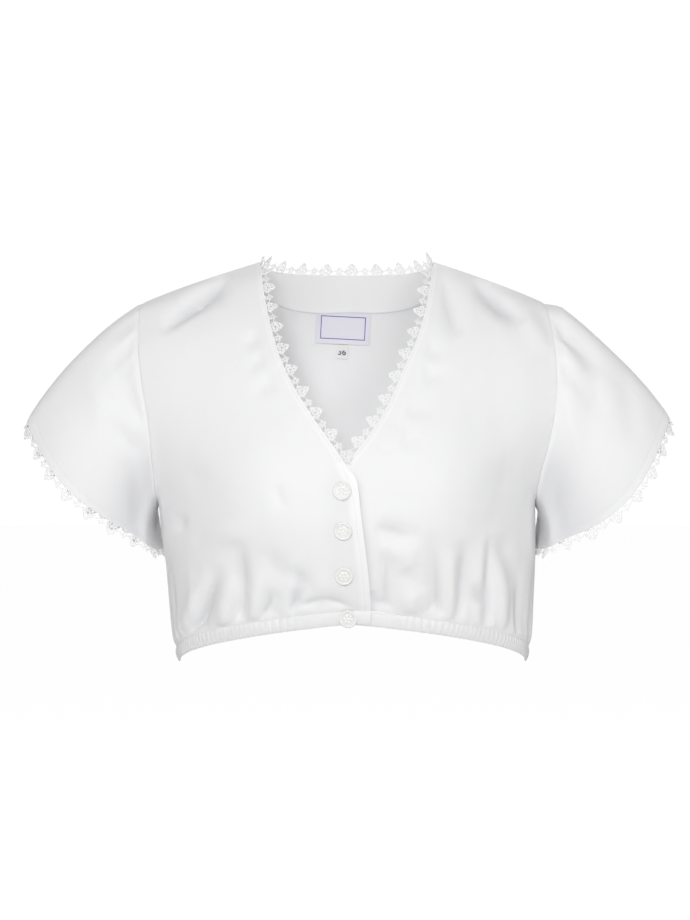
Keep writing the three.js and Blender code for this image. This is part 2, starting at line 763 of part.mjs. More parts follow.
// The hem casing below a panel's lower edge, gathered outside and plain inside; "calm" says how
// much of the gathers' height is left at a distance from the centre
function buildCasing(placeAt, length, calm, flip) {
  const columns = 2 * Math.round(length / GATHER_PITCH);
  const points = [];
  const rises = [];
  [0, 1].forEach((share) => {
    for (let j = 0; j <= columns; j += 1) {
      const { point, normal } = placeAt(j / columns);
      point.addScaledVector(normal, -CASING_LEAN * share);
      point.z -= lerp(SEAM_GAP, CASING_HEIGHT, share);
      points.push(point);
      const height = GATHER_RISE * (1 - GATHER_UNEVENNESS * Math.sin(j) ** 2);
      rises.push(j % 2 === 1 ? height * calm(point.x) : 0);
    }
  });
  const sheet = new Sheet(points, gridFaces(1, columns, flip));
  sheet.rises = rises;
  sheet.normals.forEach((normal) => normal.setZ(0).normalize());
  [0, columns + 1].forEach((first) => {
    const last = first + columns;
    const run = points[first + 1].clone().sub(points[first]).normalize();
    const runBack = points[last - 1].clone().sub(points[last]).normalize();
    sheet.shifts[first].addScaledVector(run, SEAM_GAP / 2);
    sheet.shifts[last].addScaledVector(runBack, SEAM_GAP / 2);
  });
  return sheet;
}

// Gathers die away on the doubled cloth beside the buttons
const calmNearButtons = (x) => smoothstep(Math.abs(x), GATHER_CALM.end, GATHER_CALM.start);

// The level direction square to the edge, on the side of "outwards"
function levelNormal(ahead, behind, outwards) {
  const run = ahead.clone().sub(behind);
  const normal = new THREE.Vector3(run.y, -run.x, 0).normalize();
  return normal.dot(outwards) < 0 ? normal.negate() : normal;
}

function frontCasing(side) {
  const edgeAt = (u) => {
    const point = frontPoint(side, clamp(u, 0, 1), 0);
    point.x *= side.sign;
    return point;
  };
  const placeAt = (u) => {
    const point = edgeAt(u);
    const outwards = new THREE.Vector3(point.x, Math.min(point.y, -1), 0);
    const normal = levelNormal(edgeAt(u + EDGE_STEP), edgeAt(u - EDGE_STEP), outwards);
    if (side === SIDES.left) point.addScaledVector(normal, lapInset(point.x, CASING_LAP_STEP));
    return { point, normal };
  };
  return buildCasing(placeAt, CASING_LENGTHS.front, calmNearButtons, side.sign > 0);
}

// Round the back, "way" runs from -1 at the wearer's right side seam to 1 at the left
function backCasing() {
  const edgeAt = (way) => {
    const side = way < 0 ? SIDES.right : SIDES.left;
    const point = backArc(side, Math.min(Math.abs(way), 1), 0);
    point.x *= side.sign;
    return point;
  };
  const placeAt = (share) => {
    const way = 2 * share - 1;
    const point = edgeAt(way);
    const outwards = new THREE.Vector3(point.x, Math.max(point.y, 1), 0);
    const [ahead, behind] = [Math.min(way + EDGE_STEP, 1), Math.max(way - EDGE_STEP, -1)];
    return { point, normal: levelNormal(edgeAt(ahead), edgeAt(behind), outwards) };
  };
  return buildCasing(placeAt, CASING_LENGTHS.back, () => 1, false);
}

// The depth and the facing of a sheet at a place seen along Y
function spotOn(sheet, x, z) {
  const found = [];
  sheet.faces.forEach((face) => {
    [[0, 1, 2], [0, 2, 3]].forEach((corners) => {
      const [a, b, c] = corners.map((k) => sheet.points[face[k]]);
      const area = (b.x - a.x) * (c.z - a.z) - (c.x - a.x) * (b.z - a.z);
      const v = ((x - a.x) * (c.z - a.z) - (c.x - a.x) * (z - a.z)) / area;
      const w = ((b.x - a.x) * (z - a.z) - (x - a.x) * (b.z - a.z)) / area;
      if (v < 0 || w < 0 || v + w > 1) return;
      const [na, nb, nc] = corners.map((k) => sheet.normals[face[k]]);
      const normal = na.clone().multiplyScalar(1 - v - w).addScaledVector(nb, v).addScaledVector(nc, w);
      const point = new THREE.Vector3(x, a.y + v * (b.y - a.y) + w * (c.y - a.y), z);
      found.push({ point, normal: normal.normalize() });
    });
  });
  return found[0];
}

// A flat trim laid on a sheet's inner side, made from the sheet's own points
function laidTrim(sheet, trim, stand) {
  const points = [];
  for (let i = 0; i <= trim.rows; i += 1) {
    for (let j = 0; j <= trim.columns; j += 1) {
      const across = (j / trim.columns - 0.5) * trim.width;
      const up = (i / trim.rows - 0.5) * trim.height;
      const x = trim.x + across * Math.cos(trim.lean) - up * Math.sin(trim.lean);
      const z = trim.z + across * Math.sin(trim.lean) + up * Math.cos(trim.lean);
      const { point, normal } = spotOn(sheet, x, z);
      points.push(point.addScaledVector(normal, -stand));
    }
  }
  return new Sheet(points, gridFaces(trim.rows, trim.columns, false));
}

// The back neck facing lies inside the back along its neckline, on the back's own points
function buildFacing(back) {
  const rows = range(ROWS.findIndex((t) => t >= FACING_SECTION), TOP_ROW);
  const columns = range(BACK_COLUMNS - BACK_NECK_COLUMNS, BACK_COLUMNS + BACK_NECK_COLUMNS);
  const kept = [];
  rows.forEach((i) => columns.forEach((j) => kept.push(vertexAt(back, i, j))));
  const last = columns.length - 1;
  const points = kept.map((k, n) => {
    const column = n % columns.length;
    const point = back.points[k].clone();
    if (column === 0) point.lerp(back.points[k + 1], FACING_END);
    if (column === last) point.lerp(back.points[k - 1], FACING_END);
    return point;
  });
  const sheet = new Sheet(points, gridFaces(rows.length - 1, last, true));
  sheet.normals = kept.map((k) => back.normals[k].clone());
  return sheet;
}

// A run of lace beside an edge: its straight side stands a gap off the edge and its scallops
// follow the repeat, starting anew at the run's first point
function buildLace(edge, outwards, facings, gap) {
  const lengths = [0];
  edge.slice(1).forEach((point, k) => lengths.push(lengths[k] + point.distanceTo(edge[k])));
  const total = lengths[lengths.length - 1];
  const repeats = Math.max(1, Math.round(total / LACE_REPEAT));
  const stops = [];
  for (let k = 0; k < repeats; k += 1) {
    LACE_OUTLINE.forEach((scallop) => {
      stops.push({ at: ((k + scallop.along) / repeats) * total, depth: scallop.depth });
    });
  }
  stops.push({ at: total, depth: LACE_OUTLINE[0].depth });
  const sample = (list, at) => {
    let k = 0;
    while (k < lengths.length - 2 && lengths[k + 1] < at) k += 1;
    return list[k].clone().lerp(list[k + 1], (at - lengths[k]) / (lengths[k + 1] - lengths[k]));
  };
  const points = [];
  const normals = [];
  [0, 1].forEach((row) => {
    stops.forEach(({ at, depth }) => {
      const away = sample(outwards, at).normalize();
      points.push(sample(edge, at).addScaledVector(away, row === 0 ? gap : gap + depth));
      normals.push(sample(facings, at).normalize());
    });
  });
  return { points, normals, columns: stops.length - 1 };
}

function laceSheet(edge, outwards, facings, flip, closed = false) {
  const { points, normals, columns } = buildLace(edge, outwards, facings, SEAM_GAP);
  if (!closed) {
    const sheet = new Sheet(points, gridFaces(1, columns, flip));
    sheet.normals = normals;
    return sheet;
  }
  const kept = points.filter((_, k) => k % (columns + 1) !== columns);
  const sheet = new Sheet(kept, gridFaces(1, columns, flip, true));
  sheet.normals = normals.filter((_, k) => k % (columns + 1) !== columns);
  return sheet;
}

function edgeData(sheet, edge, inside) {
  const steps = stepsIn(sheet, edge, inside);
  return {
    points: edge.map((k) => sheet.points[k].clone().add(sheet.shifts[k])),
    outwards: steps.map((step) => step.negate()),
    facings: edge.map((k) => sheet.normals[k].clone()),
  };
}

// Lace along the V of one front, from the shoulder down to the V's corner
function neckLace(side, front) {
  const rows = range(ROWS.indexOf(UNDERARM_SECTION + 1), TOP_ROW).reverse();
  const edge = rows.map((i) => vertexAt(front, i, 0));
  const { points, outwards, facings } = edgeData(front, edge, edge.map((k) => k + 1));
  trimEnds(points);
  return laceSheet(points, outwards, facings, side.sign > 0);
}

// Lace along the back neck, from the wearer's right shoulder to the left
function backNeckLace(back) {
  const columns = range(BACK_COLUMNS - BACK_NECK_COLUMNS, BACK_COLUMNS + BACK_NECK_COLUMNS);
  const edge = columns.map((j) => vertexAt(back, TOP_ROW, j));
  const { points, outwards, facings } = edgeData(back, edge, edge.map((k) => k - back.columns - 1));
  trimEnds(points);
  return laceSheet(points, outwards, facings, true);
}

// Each run of lace ends a little short of the next
function trimEnds(points) {
  const last = points.length - 1;
  points[0].lerp(points[1], LACE_END_GAP / points[0].distanceTo(points[1]));
  points[last].lerp(points[last - 1], LACE_END_GAP / points[last].distanceTo(points[last - 1]));
}

function cuffLace(side, { sheet, columns }) {
  const lastRing = (SLEEVE_RINGS.length - 1) * columns;
  const edge = range(0, columns).map((k) => lastRing + (k % columns));
  const outwards = edge.map((k, i) => {
    const run = sheet.points[edge[(i + 1) % columns]].clone();
    run.sub(sheet.points[edge[(i + columns - 1) % columns]]).normalize();
    const step = sheet.points[k].clone().sub(sheet.points[k - columns]);
    return step.addScaledVector(run, -step.dot(run)).normalize();
  });
  const points = edge.map((k) => sheet.points[k].clone());
  const facings = edge.map((k) => sheet.normals[k].clone());
  return laceSheet(points, outwards, facings, side.sign < 0, true);
}

function buttonGeometry() {
  const profile = BUTTON_PROFILE.map(({ share, height }) =>
    new THREE.Vector2(share * BUTTON_RADIUS, height));
  return new THREE.LatheGeometry(profile, BUTTON_SIDES);
}

function part(name, geometry, finish) {
  const mesh = new THREE.Mesh(geometry, new THREE.MeshStandardMaterial(finish));
  mesh.name = name;
  return mesh;
}

const fronts = { right: buildFront(SIDES.right), left: buildFront(SIDES.left) };
const back = buildBack();
joinBody(fronts, back);
const sleeves = {
  right: buildSleeve(SIDES.right, fronts.right, back),
  left: buildSleeve(SIDES.left, fronts.left, back),
};
const casings = { right: frontCasing(SIDES.right), left: frontCasing(SIDES.left), back: backCasing() };

// A sheet as a piece of its full wall, half of it on each side
const piece = (name, sheet, wall, finish) => part(name, sheet.wall(wall / 2, wall / 2), finish);

const blouse = new THREE.Group();
Object.values(SIDES).forEach((side) => {
  const { name } = side;
  blouse.add(
    piece(`front_${name}`, fronts[name], WALL, COTTON),
    piece(`sleeve_${name}`, sleeves[name].sheet, WALL, COTTON),
    piece(`hem_casing_front_${name}`, casings[name], CASING_WALL, COTTON),
    piece(`lace_neck_${name}`, neckLace(side, fronts[name]), LACE_WALL, LACE_THREAD),
    piece(`lace_cuff_${name}`, cuffLace(side, sleeves[name]), LACE_WALL, LACE_THREAD),
  );
});

const insideBack = WALL / 2 + SEAM_GAP;
const labelStand = insideBack + LABEL.wall / 2;
const facing = buildFacing(back).wall(-insideBack, insideBack + FACING_WALL);
blouse.add(
  piece('back', back, WALL, COTTON),
  piece('hem_casing_back', casings.back, CASING_WALL, COTTON),
  piece('lace_neck_back', backNeckLace(back), LACE_WALL, LACE_THREAD),
  part('back_neck_facing', facing, COTTON),
  piece('label', laidTrim(back, LABEL, labelStand), LABEL.wall, LABEL_SATIN),
  piece('size_tab', laidTrim(back, TAB, labelStand), TAB.wall, TAB_SATIN),
);

// The lowest button closes the casing, which leans inwards; the others lie on the right front
BUTTONS.forEach((place, k) => {
  const button = part(`button_${k + 1}`, buttonGeometry(), PEARL);
  const onCasing = k === BUTTONS.length - 1;
  const { point, normal } = spotOn(onCasing ? casings.right : fronts.right, place.x, place.z);
  const wall = onCasing ? CASING_WALL : WALL;
  if (onCasing) normal.setZ(-CASING_LEAN / CASING_HEIGHT).normalize();
  button.position.copy(point).addScaledVector(normal, BUTTON_STAND + wall / 2);
  button.quaternion.setFromUnitVectors(new THREE.Vector3(0, 1, 0), normal);
  blouse.add(button);
});

export default blouse;
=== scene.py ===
"""Cropped dirndl blouse in its worn, hollow form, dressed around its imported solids.

Sizes are millimetres until a mesh is made; +X is the wearer's left, -Y the front and +Z up.
"""

from __future__ import annotations

import logging
import math
from dataclasses import dataclass, field
from enum import Enum

import bpy
import numpy as np
from mathutils import Euler, Matrix, Vector, noise
from mathutils.bvhtree import BVHTree

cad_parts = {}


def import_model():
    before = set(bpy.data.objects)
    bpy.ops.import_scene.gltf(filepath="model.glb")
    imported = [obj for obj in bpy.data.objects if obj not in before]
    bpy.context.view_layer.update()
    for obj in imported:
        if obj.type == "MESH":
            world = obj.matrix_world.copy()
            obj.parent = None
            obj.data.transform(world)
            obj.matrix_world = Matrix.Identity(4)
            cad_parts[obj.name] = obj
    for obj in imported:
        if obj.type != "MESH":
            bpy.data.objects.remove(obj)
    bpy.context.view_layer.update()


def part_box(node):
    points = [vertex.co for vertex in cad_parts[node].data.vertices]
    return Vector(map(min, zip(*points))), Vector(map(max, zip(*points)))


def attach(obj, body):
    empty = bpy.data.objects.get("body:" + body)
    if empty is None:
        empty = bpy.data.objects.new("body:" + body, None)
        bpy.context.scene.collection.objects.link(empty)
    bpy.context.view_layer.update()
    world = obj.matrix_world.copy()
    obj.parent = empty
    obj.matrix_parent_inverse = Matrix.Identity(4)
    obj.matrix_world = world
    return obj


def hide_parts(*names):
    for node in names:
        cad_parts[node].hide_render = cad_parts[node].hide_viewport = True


LOG = logging.getLogger("blouse")
MM = 0.001
Columns = dict[str, np.ndarray]
Colour = tuple[float, float, float]
Inputs = dict[str | int, object]


class Side(Enum):
    """The wearer's two sides, each with the sign of its X."""

    RIGHT = -1
    LEFT = 1

    @property
    def label(self) -> str:
        """Returns the side's name as the nodes spell it."""
        return self.name.lower()


class Held(Enum):
    """How a sheet of cloth is held."""

    HUNG = "hung"
    GATHERED = "gathered"
    LAID = "laid"


def table(names: str, rows: list[tuple[float, ...]]) -> Columns:
    """Turns rows of numbers into named columns.

    Args:
        names: The columns' names, with spaces between them.
        rows: The rows, each with one number a column.

    Returns:
        One array for each name.
    """
    values = np.array(rows, dtype=float)
    return {name: values[:, k] for k, name in enumerate(names.split())}


# The outer edge of the fronts and the back: the side seam up to the underarm, then the armhole
OUTER = table("rows right left frontY frontZ backY backZ turn backTurn droop", [
    (2, 150.5, 155.0, 0, -302, 0, -302, 90, 90, 1.2), (3, 154.0, 157.5, 0, -292, 0, -292, 90, 90, 1.2),
    (3, 157.0, 159.0, 0, -262, 0, -262, 90, 90, 1.2), (3, 159.5, 160.5, 1, -232, 1, -232, 90, 90, 1.2),
    (2, 163.5, 161.0, 3, -205, 3, -205, 90, 90, 1.2), (1, 166.0, 160.5, 5, -178, 5, -178, 90, 90, 1.2),
    (1, 168.0, 161.5, -20, -170, 30, -168, 78, 76, 1.2),
    (2, 169.5, 164.0, -34, -153, 47, -150, 71, 66, 1.2),
    (2, 171.5, 170.0, -44, -130, 57, -124, 62, 59, 1.2),
    (2, 174.5, 175.5, -48, -104, 60, -97, 56, 56, 1.2),
    (2, 179.5, 178.5, -44, -74, 55, -67, 53, 56, 1.15), (2, 183.0, 177.5, -34, -46, 42, -42, 51, 59, 1.1),
    (1, 183.5, 174.5, -20, -24, 26, -23, 50, 60, 1.05), (1, 183.0, 172.0, -8, -10, 14, -10, 50, 60, 1.0),
    (0, 181.0, 169.5, 4, -3, 4, -3, 50, 60, 1.0),
])
# The inner edge of each front: the button edge up to the V's corner, then the neckline
INNER = table("rightX rightY rightZ leftX leftY leftZ", [
    (-17.5, -97.0, -267.0, -18.0, -97.0, -267.0), (-17.2, -103.0, -258.0, -18.2, -102.9, -258.0),
    (-15.5, -112.0, -236.0, -18.8, -111.7, -236.0), (-12.5, -119.0, -211.0, -19.5, -118.5, -211.0),
    (-9.5, -122.5, -187.0, -20.0, -121.7, -187.0), (-5.5, -122.5, -157.0, -19.5, -121.6, -157.0),
    (2.5, -121.0, -146.0, -12.0, -121.2, -150.0), (10.0, -118.0, -134.0, 0.5, -118.9, -137.5),
    (31.0, -108.0, -104.5, 16.0, -112.0, -118.0), (49.0, -94.0, -75.5, 33.0, -98.0, -91.0),
    (60.0, -80.5, -52.0, 47.0, -80.5, -59.0), (68.0, -63.0, -26.0, 58.5, -63.0, -33.0),
    (73.0, -44.0, -4.0, 65.5, -44.0, -9.0), (76.5, -22.0, 18.0, 70.0, -22.0, 15.0),
    (78.0, 0.0, 33.0, 72.5, 0.0, 33.0),
])
CENTRE_BACK = table("y z", [
    (93, -259), (98, -249), (107, -220), (112, -191), (114, -163), (114.5, -136), (114, -121),
    (113, -104), (110, -82), (106, -60), (99.5, -38), (90, -18), (80, -3), (70, 10), (60, 23.5),
])
# The cuff edges, from the top over the front, the underarm and the back
CUFFS = {
    Side.RIGHT: table("out y z", [
        (280, 0, -106), (271, -22, -125), (256, -38, -149), (237, -45, -170), (212, -44, -188),
        (188, -32, -203), (171, -2, -216), (168, 27, -213), (184, 42, -203), (208, 48, -190),
        (235, 43, -169), (262, 25, -137),
    ]),
    Side.LEFT: table("out y z", [
        (277, 0, -103), (271, -21, -119), (258, -38, -146), (240, -46, -172), (215, -46, -193),
        (188, -34, -206), (168, -4, -216), (166, 25, -213), (184, 42, -203), (210, 48, -189),
        (238, 43, -165), (262, 24, -131),
    ]),
}
# Tucks of the sleeve head: degrees from the top towards the front, depth, width and reach
TUCKS = {
    Side.RIGHT: table("around depth width reach", [
        (-42, -1.2, 8, 0.20), (-20, -1.5, 8, 0.24), (-4, -0.8, 5, 0.16), (18, -1.4, 8, 0.22),
        (30, 0.8, 6, 0.20), (40, -1.8, 9, 0.30), (58, -0.9, 7, 0.20),
    ]),
    Side.LEFT: table("around depth width reach", [
        (-42, -1.4, 8, 0.22), (-18, -1.8, 8, 0.25), (4, 3.2, 18, 0.30), (26, -3.2, 10, 0.34),
        (46, 2.2, 10, 0.28), (62, -1.8, 8, 0.30), (78, -0.8, 6, 0.20),
    ]),
}
FULLNESS = {
    "front": table("x z rise reachX reachZ", [(-84, -164, 9, 44, 48), (84, -164, 9, 44, 48)]),
    "back": table("x z rise reachX reachZ", [(-78, -70, 4, 45, 45), (78, -70, 4, 45, 45)]),
}
# Creases by their ends, depth (below zero) or rise, half width, and where they are deepest
CREASE_NAMES = "x1 z1 x2 z2 depth width deepest"
CREASES = {
    "front": table(CREASE_NAMES, [
        (-110, -228, -135, -296, -5.5, 7, 0.8), (-124, -236, -146, -290, 2.5, 7, 0.7),
        (-96, -238, -112, -288, 3.0, 8, 0.8), (-90, -206, -95, -280, -3.6, 6, 0.8),
        (-78, -232, -84, -282, 2.4, 6, 0.8), (-64, -248, -75, -280, -3.4, 6, 0.7),
        (-45, -248, -50, -276, -3.0, 5, 0.7), (-41, -232, -47, -268, -2.2, 6, 0.6),
        (-42, -264, 4, -264, -1.6, 6, 0.5), (-34, -246, -4, -246, 1.6, 9, 0.5),
        (-104, 18, -164, -30, -5.2, 10, 0.35), (-112, 2, -162, -36, 1.6, 5, 0.4),
        (-100, 22, -150, 6, 2.0, 10, 0.5), (-76, -32, -94, -44, -1.4, 6, 0.3),
        (-72, -50, -90, -62, -1.4, 6, 0.3), (-64, -72, -84, -82, -1.4, 6, 0.3),
        (-63, -158, -55, -182, -1.4, 5, 0.5), (-140, -186, -148, -200, -2.0, 6, 0.5),
        (22, -194, 60, -206, -3.0, 7, 0.4), (20, -214, 58, -222, 1.8, 8, 0.5),
        (32, -210, 31, -276, -2.6, 6, 0.75), (18, -250, 27, -276, -3.0, 6, 0.7),
        (52, -214, 54, -276, 2.0, 8, 0.7), (70, -199, 78, -276, -3.6, 7, 0.75),
        (86, -214, 86, -276, 2.2, 6, 0.7), (98, -206, 93, -280, -3.2, 6, 0.75),
        (109, -242, 111, -266, -2.4, 5, 0.6), (116, -204, 120, -282, -3.4, 6, 0.75),
        (130, -216, 132, -284, 2.2, 6, 0.7), (142, -218, 147, -290, -3.0, 6, 0.75),
        (80, 22, 92, -34, -2.6, 9, 0.5), (106, 14, 150, -22, -4.0, 9, 0.45),
        (145, -4, 170, -46, 2.2, 9, 0.5), (64, -44, 82, -48, -1.3, 6, 0.3),
        (62, -68, 84, -66, -1.5, 6, 0.3), (48, -94, 72, -98, -1.5, 7, 0.3),
        (43, -120, 66, -124, -1.3, 7, 0.3),
    ]),
    "back": table(CREASE_NAMES, [
        (-128, -212, -136, -292, -3.6, 8, 0.75), (-104, -218, -108, -284, 2.2, 8, 0.7),
        (-84, -196, -90, -278, -3.8, 8, 0.75), (-58, -214, -62, -272, 2.2, 8, 0.7),
        (-36, -188, -38, -264, -3.2, 8, 0.75), (-10, -208, -8, -262, 2.0, 8, 0.7),
        (16, -184, 18, -262, -3.4, 8, 0.75), (44, -206, 48, -268, 2.0, 8, 0.7),
        (70, -192, 76, -274, -3.8, 8, 0.75), (98, -212, 104, -282, 2.2, 8, 0.7),
        (124, -204, 132, -290, -3.6, 8, 0.75), (-60, -14, -120, -34, -2.0, 10, 0.4),
        (62, -12, 118, -36, -2.0, 10, 0.4),
    ]),
    "sleeve_front": table(CREASE_NAMES, [
        (-203, -44, -178, -112, -2.6, 8, 0.6), (-222, -60, -206, -120, 1.6, 10, 0.5),
        (-211, -101, -178, -138, -2.2, 8, 0.6), (-190, -134, -178, -208, -3.0, 11, 0.6),
        (196, -40, 216, -106, -2.4, 9, 0.4), (184, -60, 196, -140, 1.8, 9, 0.5),
        (180, -140, 175, -205, -2.2, 10, 0.5), (232, -70, 246, -130, -1.4, 9, 0.5),
    ]),
    "sleeve_back": table(CREASE_NAMES, [
        (-206, -44, -184, -124, -2.4, 9, 0.6), (-236, -70, -226, -140, 1.6, 10, 0.5),
        (200, -42, 190, -128, -2.4, 9, 0.6), (236, -70, 228, -140, 1.6, 10, 0.5),
    ]),
}
# Creases between and beside the main ones, most of them narrow; the solids don't have them
FINE_CREASES = {
    "front": table(CREASE_NAMES, [
        (-150, -236, -153, -288, -0.9, 4, 0.8), (-104, -258, -118, -292, -1.1, 3.5, 0.7),
        (-86, -254, -90, -284, -1.0, 3, 0.7), (-57, -252, -60, -280, -1.0, 3, 0.7),
        (-37, -256, -38, -274, -0.9, 3, 0.6), (-28, -262, -30, -274, -0.8, 3, 0.6),
        (-120, -196, -132, -214, -0.8, 5, 0.5), (-96, -186, -120, -200, -0.7, 6, 0.5),
        (-52, -60, -66, -66, -0.8, 3, 0.3), (-44, -92, -60, -98, -0.8, 3, 0.3),
        (-28, -114, -44, -120, -0.8, 3, 0.3), (42, -246, 44, -278, -1.0, 3, 0.7),
        (60, -250, 64, -280, -1.0, 3, 0.7), (104, -248, 104, -284, -1.0, 3, 0.7),
        (126, -246, 127, -288, -1.0, 3, 0.7), (137, -256, 139, -290, -1.0, 3, 0.7),
        (151, -240, 153, -290, -0.9, 3.5, 0.75), (30, -172, 52, -178, -0.7, 5, 0.5),
        (96, -190, 124, -196, -0.7, 6, 0.5), (34, -108, 50, -112, -0.8, 3, 0.3),
        (24, -128, 38, -133, -0.8, 3, 0.3), (58, -82, 72, -84, -0.8, 3, 0.3),
        (120, 0, 134, -20, -1.0, 4, 0.4), (-124, 2, -140, -18, -1.0, 4, 0.4),
        (-116, -238, -134, -290, -1.9, 2.6, 0.7), (-100, -206, -90, -252, -2.4, 10, 0.5),
        (-90, -244, -94, -281, -1.4, 2.2, 0.7), (-73, -214, -51, -246, -3.0, 9, 0.5),
        (-65, -250, -76, -278, -1.5, 2.2, 0.6), (-49, -228, -34, -252, -2.8, 8, 0.5),
        (-38, -248, -48, -267, -1.4, 2.2, 0.5), (-44, -265, -20, -256, -2.2, 3, 0.6),
        (-23, -256, 3, -267, -2.6, 3, 0.4), (-146, -132, -121, -168, -1.8, 12, 0.5),
        (-100, 24, -164, -29, -2.8, 4, 0.45), (-118, -196, -78, -206, 1.6, 10, 0.5),
        (20, -195, 52, -205, -1.4, 3, 0.35), (31, -212, 30, -270, -1.4, 2.4, 0.6),
        (46, -230, 57, -254, -4.2, 9, 0.5), (72, -259, 64, -273, -1.8, 3, 0.5),
        (74, -214, 77, -276, -1.2, 2.4, 0.7), (93, -204, 105, -264, -3.0, 9, 0.55),
        (111, -203, 113, -258, 2.2, 4, 0.5), (117, -208, 122, -280, -1.2, 2.2, 0.7),
        (127, -202, 139, -248, -3.0, 7, 0.5), (104, 18, 150, -21, -2.4, 4, 0.45),
        (79, 25, 92, -34, -1.4, 4, 0.5), (146, -132, 122, -166, -1.6, 12, 0.5),
    ]),
    "back": table(CREASE_NAMES, [
        (-146, -232, -150, -290, -1.0, 4, 0.75), (-116, -240, -120, -288, -1.0, 3.5, 0.75),
        (-94, -240, -98, -284, -1.0, 3.5, 0.75), (-72, -236, -75, -280, -1.0, 3.5, 0.75),
        (-48, -230, -50, -272, -1.0, 3.5, 0.75), (-24, -226, -24, -268, -1.0, 3.5, 0.75),
        (4, -228, 5, -266, -1.0, 3.5, 0.75), (30, -228, 33, -268, -1.0, 3.5, 0.75),
        (58, -232, 62, -276, -1.0, 3.5, 0.75), (84, -236, 90, -284, -1.0, 3.5, 0.75),
        (111, -240, 116, -288, -1.0, 3.5, 0.75), (140, -236, 146, -290, -1.0, 4, 0.75),
    ]),
}
BUTTON_PLACES = [(-6.9, -165.4), (-6.0, -199.0), (-5.2, -237.0), (-1.8, -273.8)]

# Sections: the underarm, the V's corner, where the back starts to be drawn forward, and the neck
UNDERARM = 5
CORNER = UNDERARM + 1
RAMP_START = 9
NECK = 14
NECK_SHARE = 6 / 16
SLEEVE_SWELL = (2.5, 6.5, 0.75)
# How many times as deep as in the solids the main creases and the tucks are
RELIEF = 1.4
# Depths of a fold at which its painted shade starts, and over which it grows to full
SHALLOW_FOLD = 2.2
DEEP_FOLD = 5.5
# Where the left front comes forward from under the lap, and how far back it and its casing lie
LAP = (26.0, 80.0)
LAP_STEP = 2.1
CASING_LAP_STEP = 2.3
# Distances from the centre between which the hem's gathers begin
CALM = (24, 60)
FRONT_HEM = 216.0
BACK_HEM = 390.0
PANEL_WIDTH = 190.0
NECK_PANEL_WIDTH = 170.0
SECTION_HEIGHT = 20.0
SLEEVE_LENGTH = 100.0
ROWS_PER_STEP = 4
FRONT_COLUMNS = 120
SLEEVE_ROWS = 44
CLOTH = 0.9


def smoothstep(x: np.ndarray, low: float, high: float) -> np.ndarray:
    """Returns the smooth step of x from 0 at low to 1 at high."""
    share = np.clip((np.asarray(x, dtype=float) - low) / (high - low), 0, 1)
    return share * share * (3 - 2 * share)


def faded(distance: np.ndarray, reach: float) -> np.ndarray:
    """Returns how far a relief has grown at a distance from a seam."""
    return smoothstep(distance, 0, reach)


def hollow(relief: np.ndarray) -> np.ndarray:
    """Returns how deep in a fold the cloth lies, as its share of painted shade, 0 down to the depth of a
    shallow one.
    """
    return np.clip((-relief - SHALLOW_FOLD) / DEEP_FOLD, 0, 1)


def along(values: np.ndarray, place: np.ndarray, closed: bool = False, corner: int = -1) -> np.ndarray:
    """Reads a column smoothly between its rows.

    Args:
        values: The column.
        place: Places in rows, of any shape.
        closed: Whether the last row joins the first.
        corner: A row at which the curve may turn, or -1.

    Returns:
        The column's value at each place.
    """
    place = np.asarray(place, dtype=float)
    last = len(values) - 1
    k = np.floor(place).astype(int)
    if closed:

        def at(i: np.ndarray) -> np.ndarray:
            """Returns the value at a row, counted round the ring."""
            return values[i % len(values)]
    else:
        k = np.clip(k, 0, last - 1)
        low = np.where((corner >= 0) & (k >= corner), corner, 0)
        high = np.where((corner >= 0) & (k < corner), corner, last)

        def at(i: np.ndarray) -> np.ndarray:
            """Returns the value at a row, carried on past the ends."""
            below = 2 * values[low] - values[low + 1]
            above = 2 * values[high] - values[high - 1]
            return np.where(i < low, below, np.where(i > high, above, values[np.clip(i, low, high)]))

    f = place - k
    a, b, c, d = at(k - 1), at(k), at(k + 1), at(k + 2)
    return b + 0.5 * f * (c - a + f * (2 * a - 5 * b + 4 * c - d + f * (3 * (b - c) + d - a)))


def arc(
    inner: np.ndarray, outer: np.ndarray, turn_out: np.ndarray, droop: np.ndarray, u: np.ndarray
) -> np.ndarray:
    """Places points on a panel's row, an arc from its inner to its outer point.

    Args:
        inner: Inner points.
        outer: Outer points.
        turn_out: How far the cloth has turned from straight ahead at the outer point, in radians.
        droop: How late in the row the height changes.
        u: Share of the way along the row.

    Returns:
        The points, with the same leading shape as u.
    """
    turn_in = np.arcsin(inner[..., 0] * np.sin(turn_out) / outer[..., 0])
    turn = turn_in + (turn_out - turn_in) * u
    start = np.maximum(turn_in, 0)
    down = (np.maximum(turn - start, 0) / (turn_out - start)) ** droop
    across = (np.sin(turn) - np.sin(turn_in)) / (np.sin(turn_out) - np.sin(turn_in))
    curve = (np.cos(turn_in) - np.cos(turn)) / (np.cos(turn_in) - np.cos(turn_out))
    return inner + (outer - inner) * np.stack([across, curve, down], axis=-1)


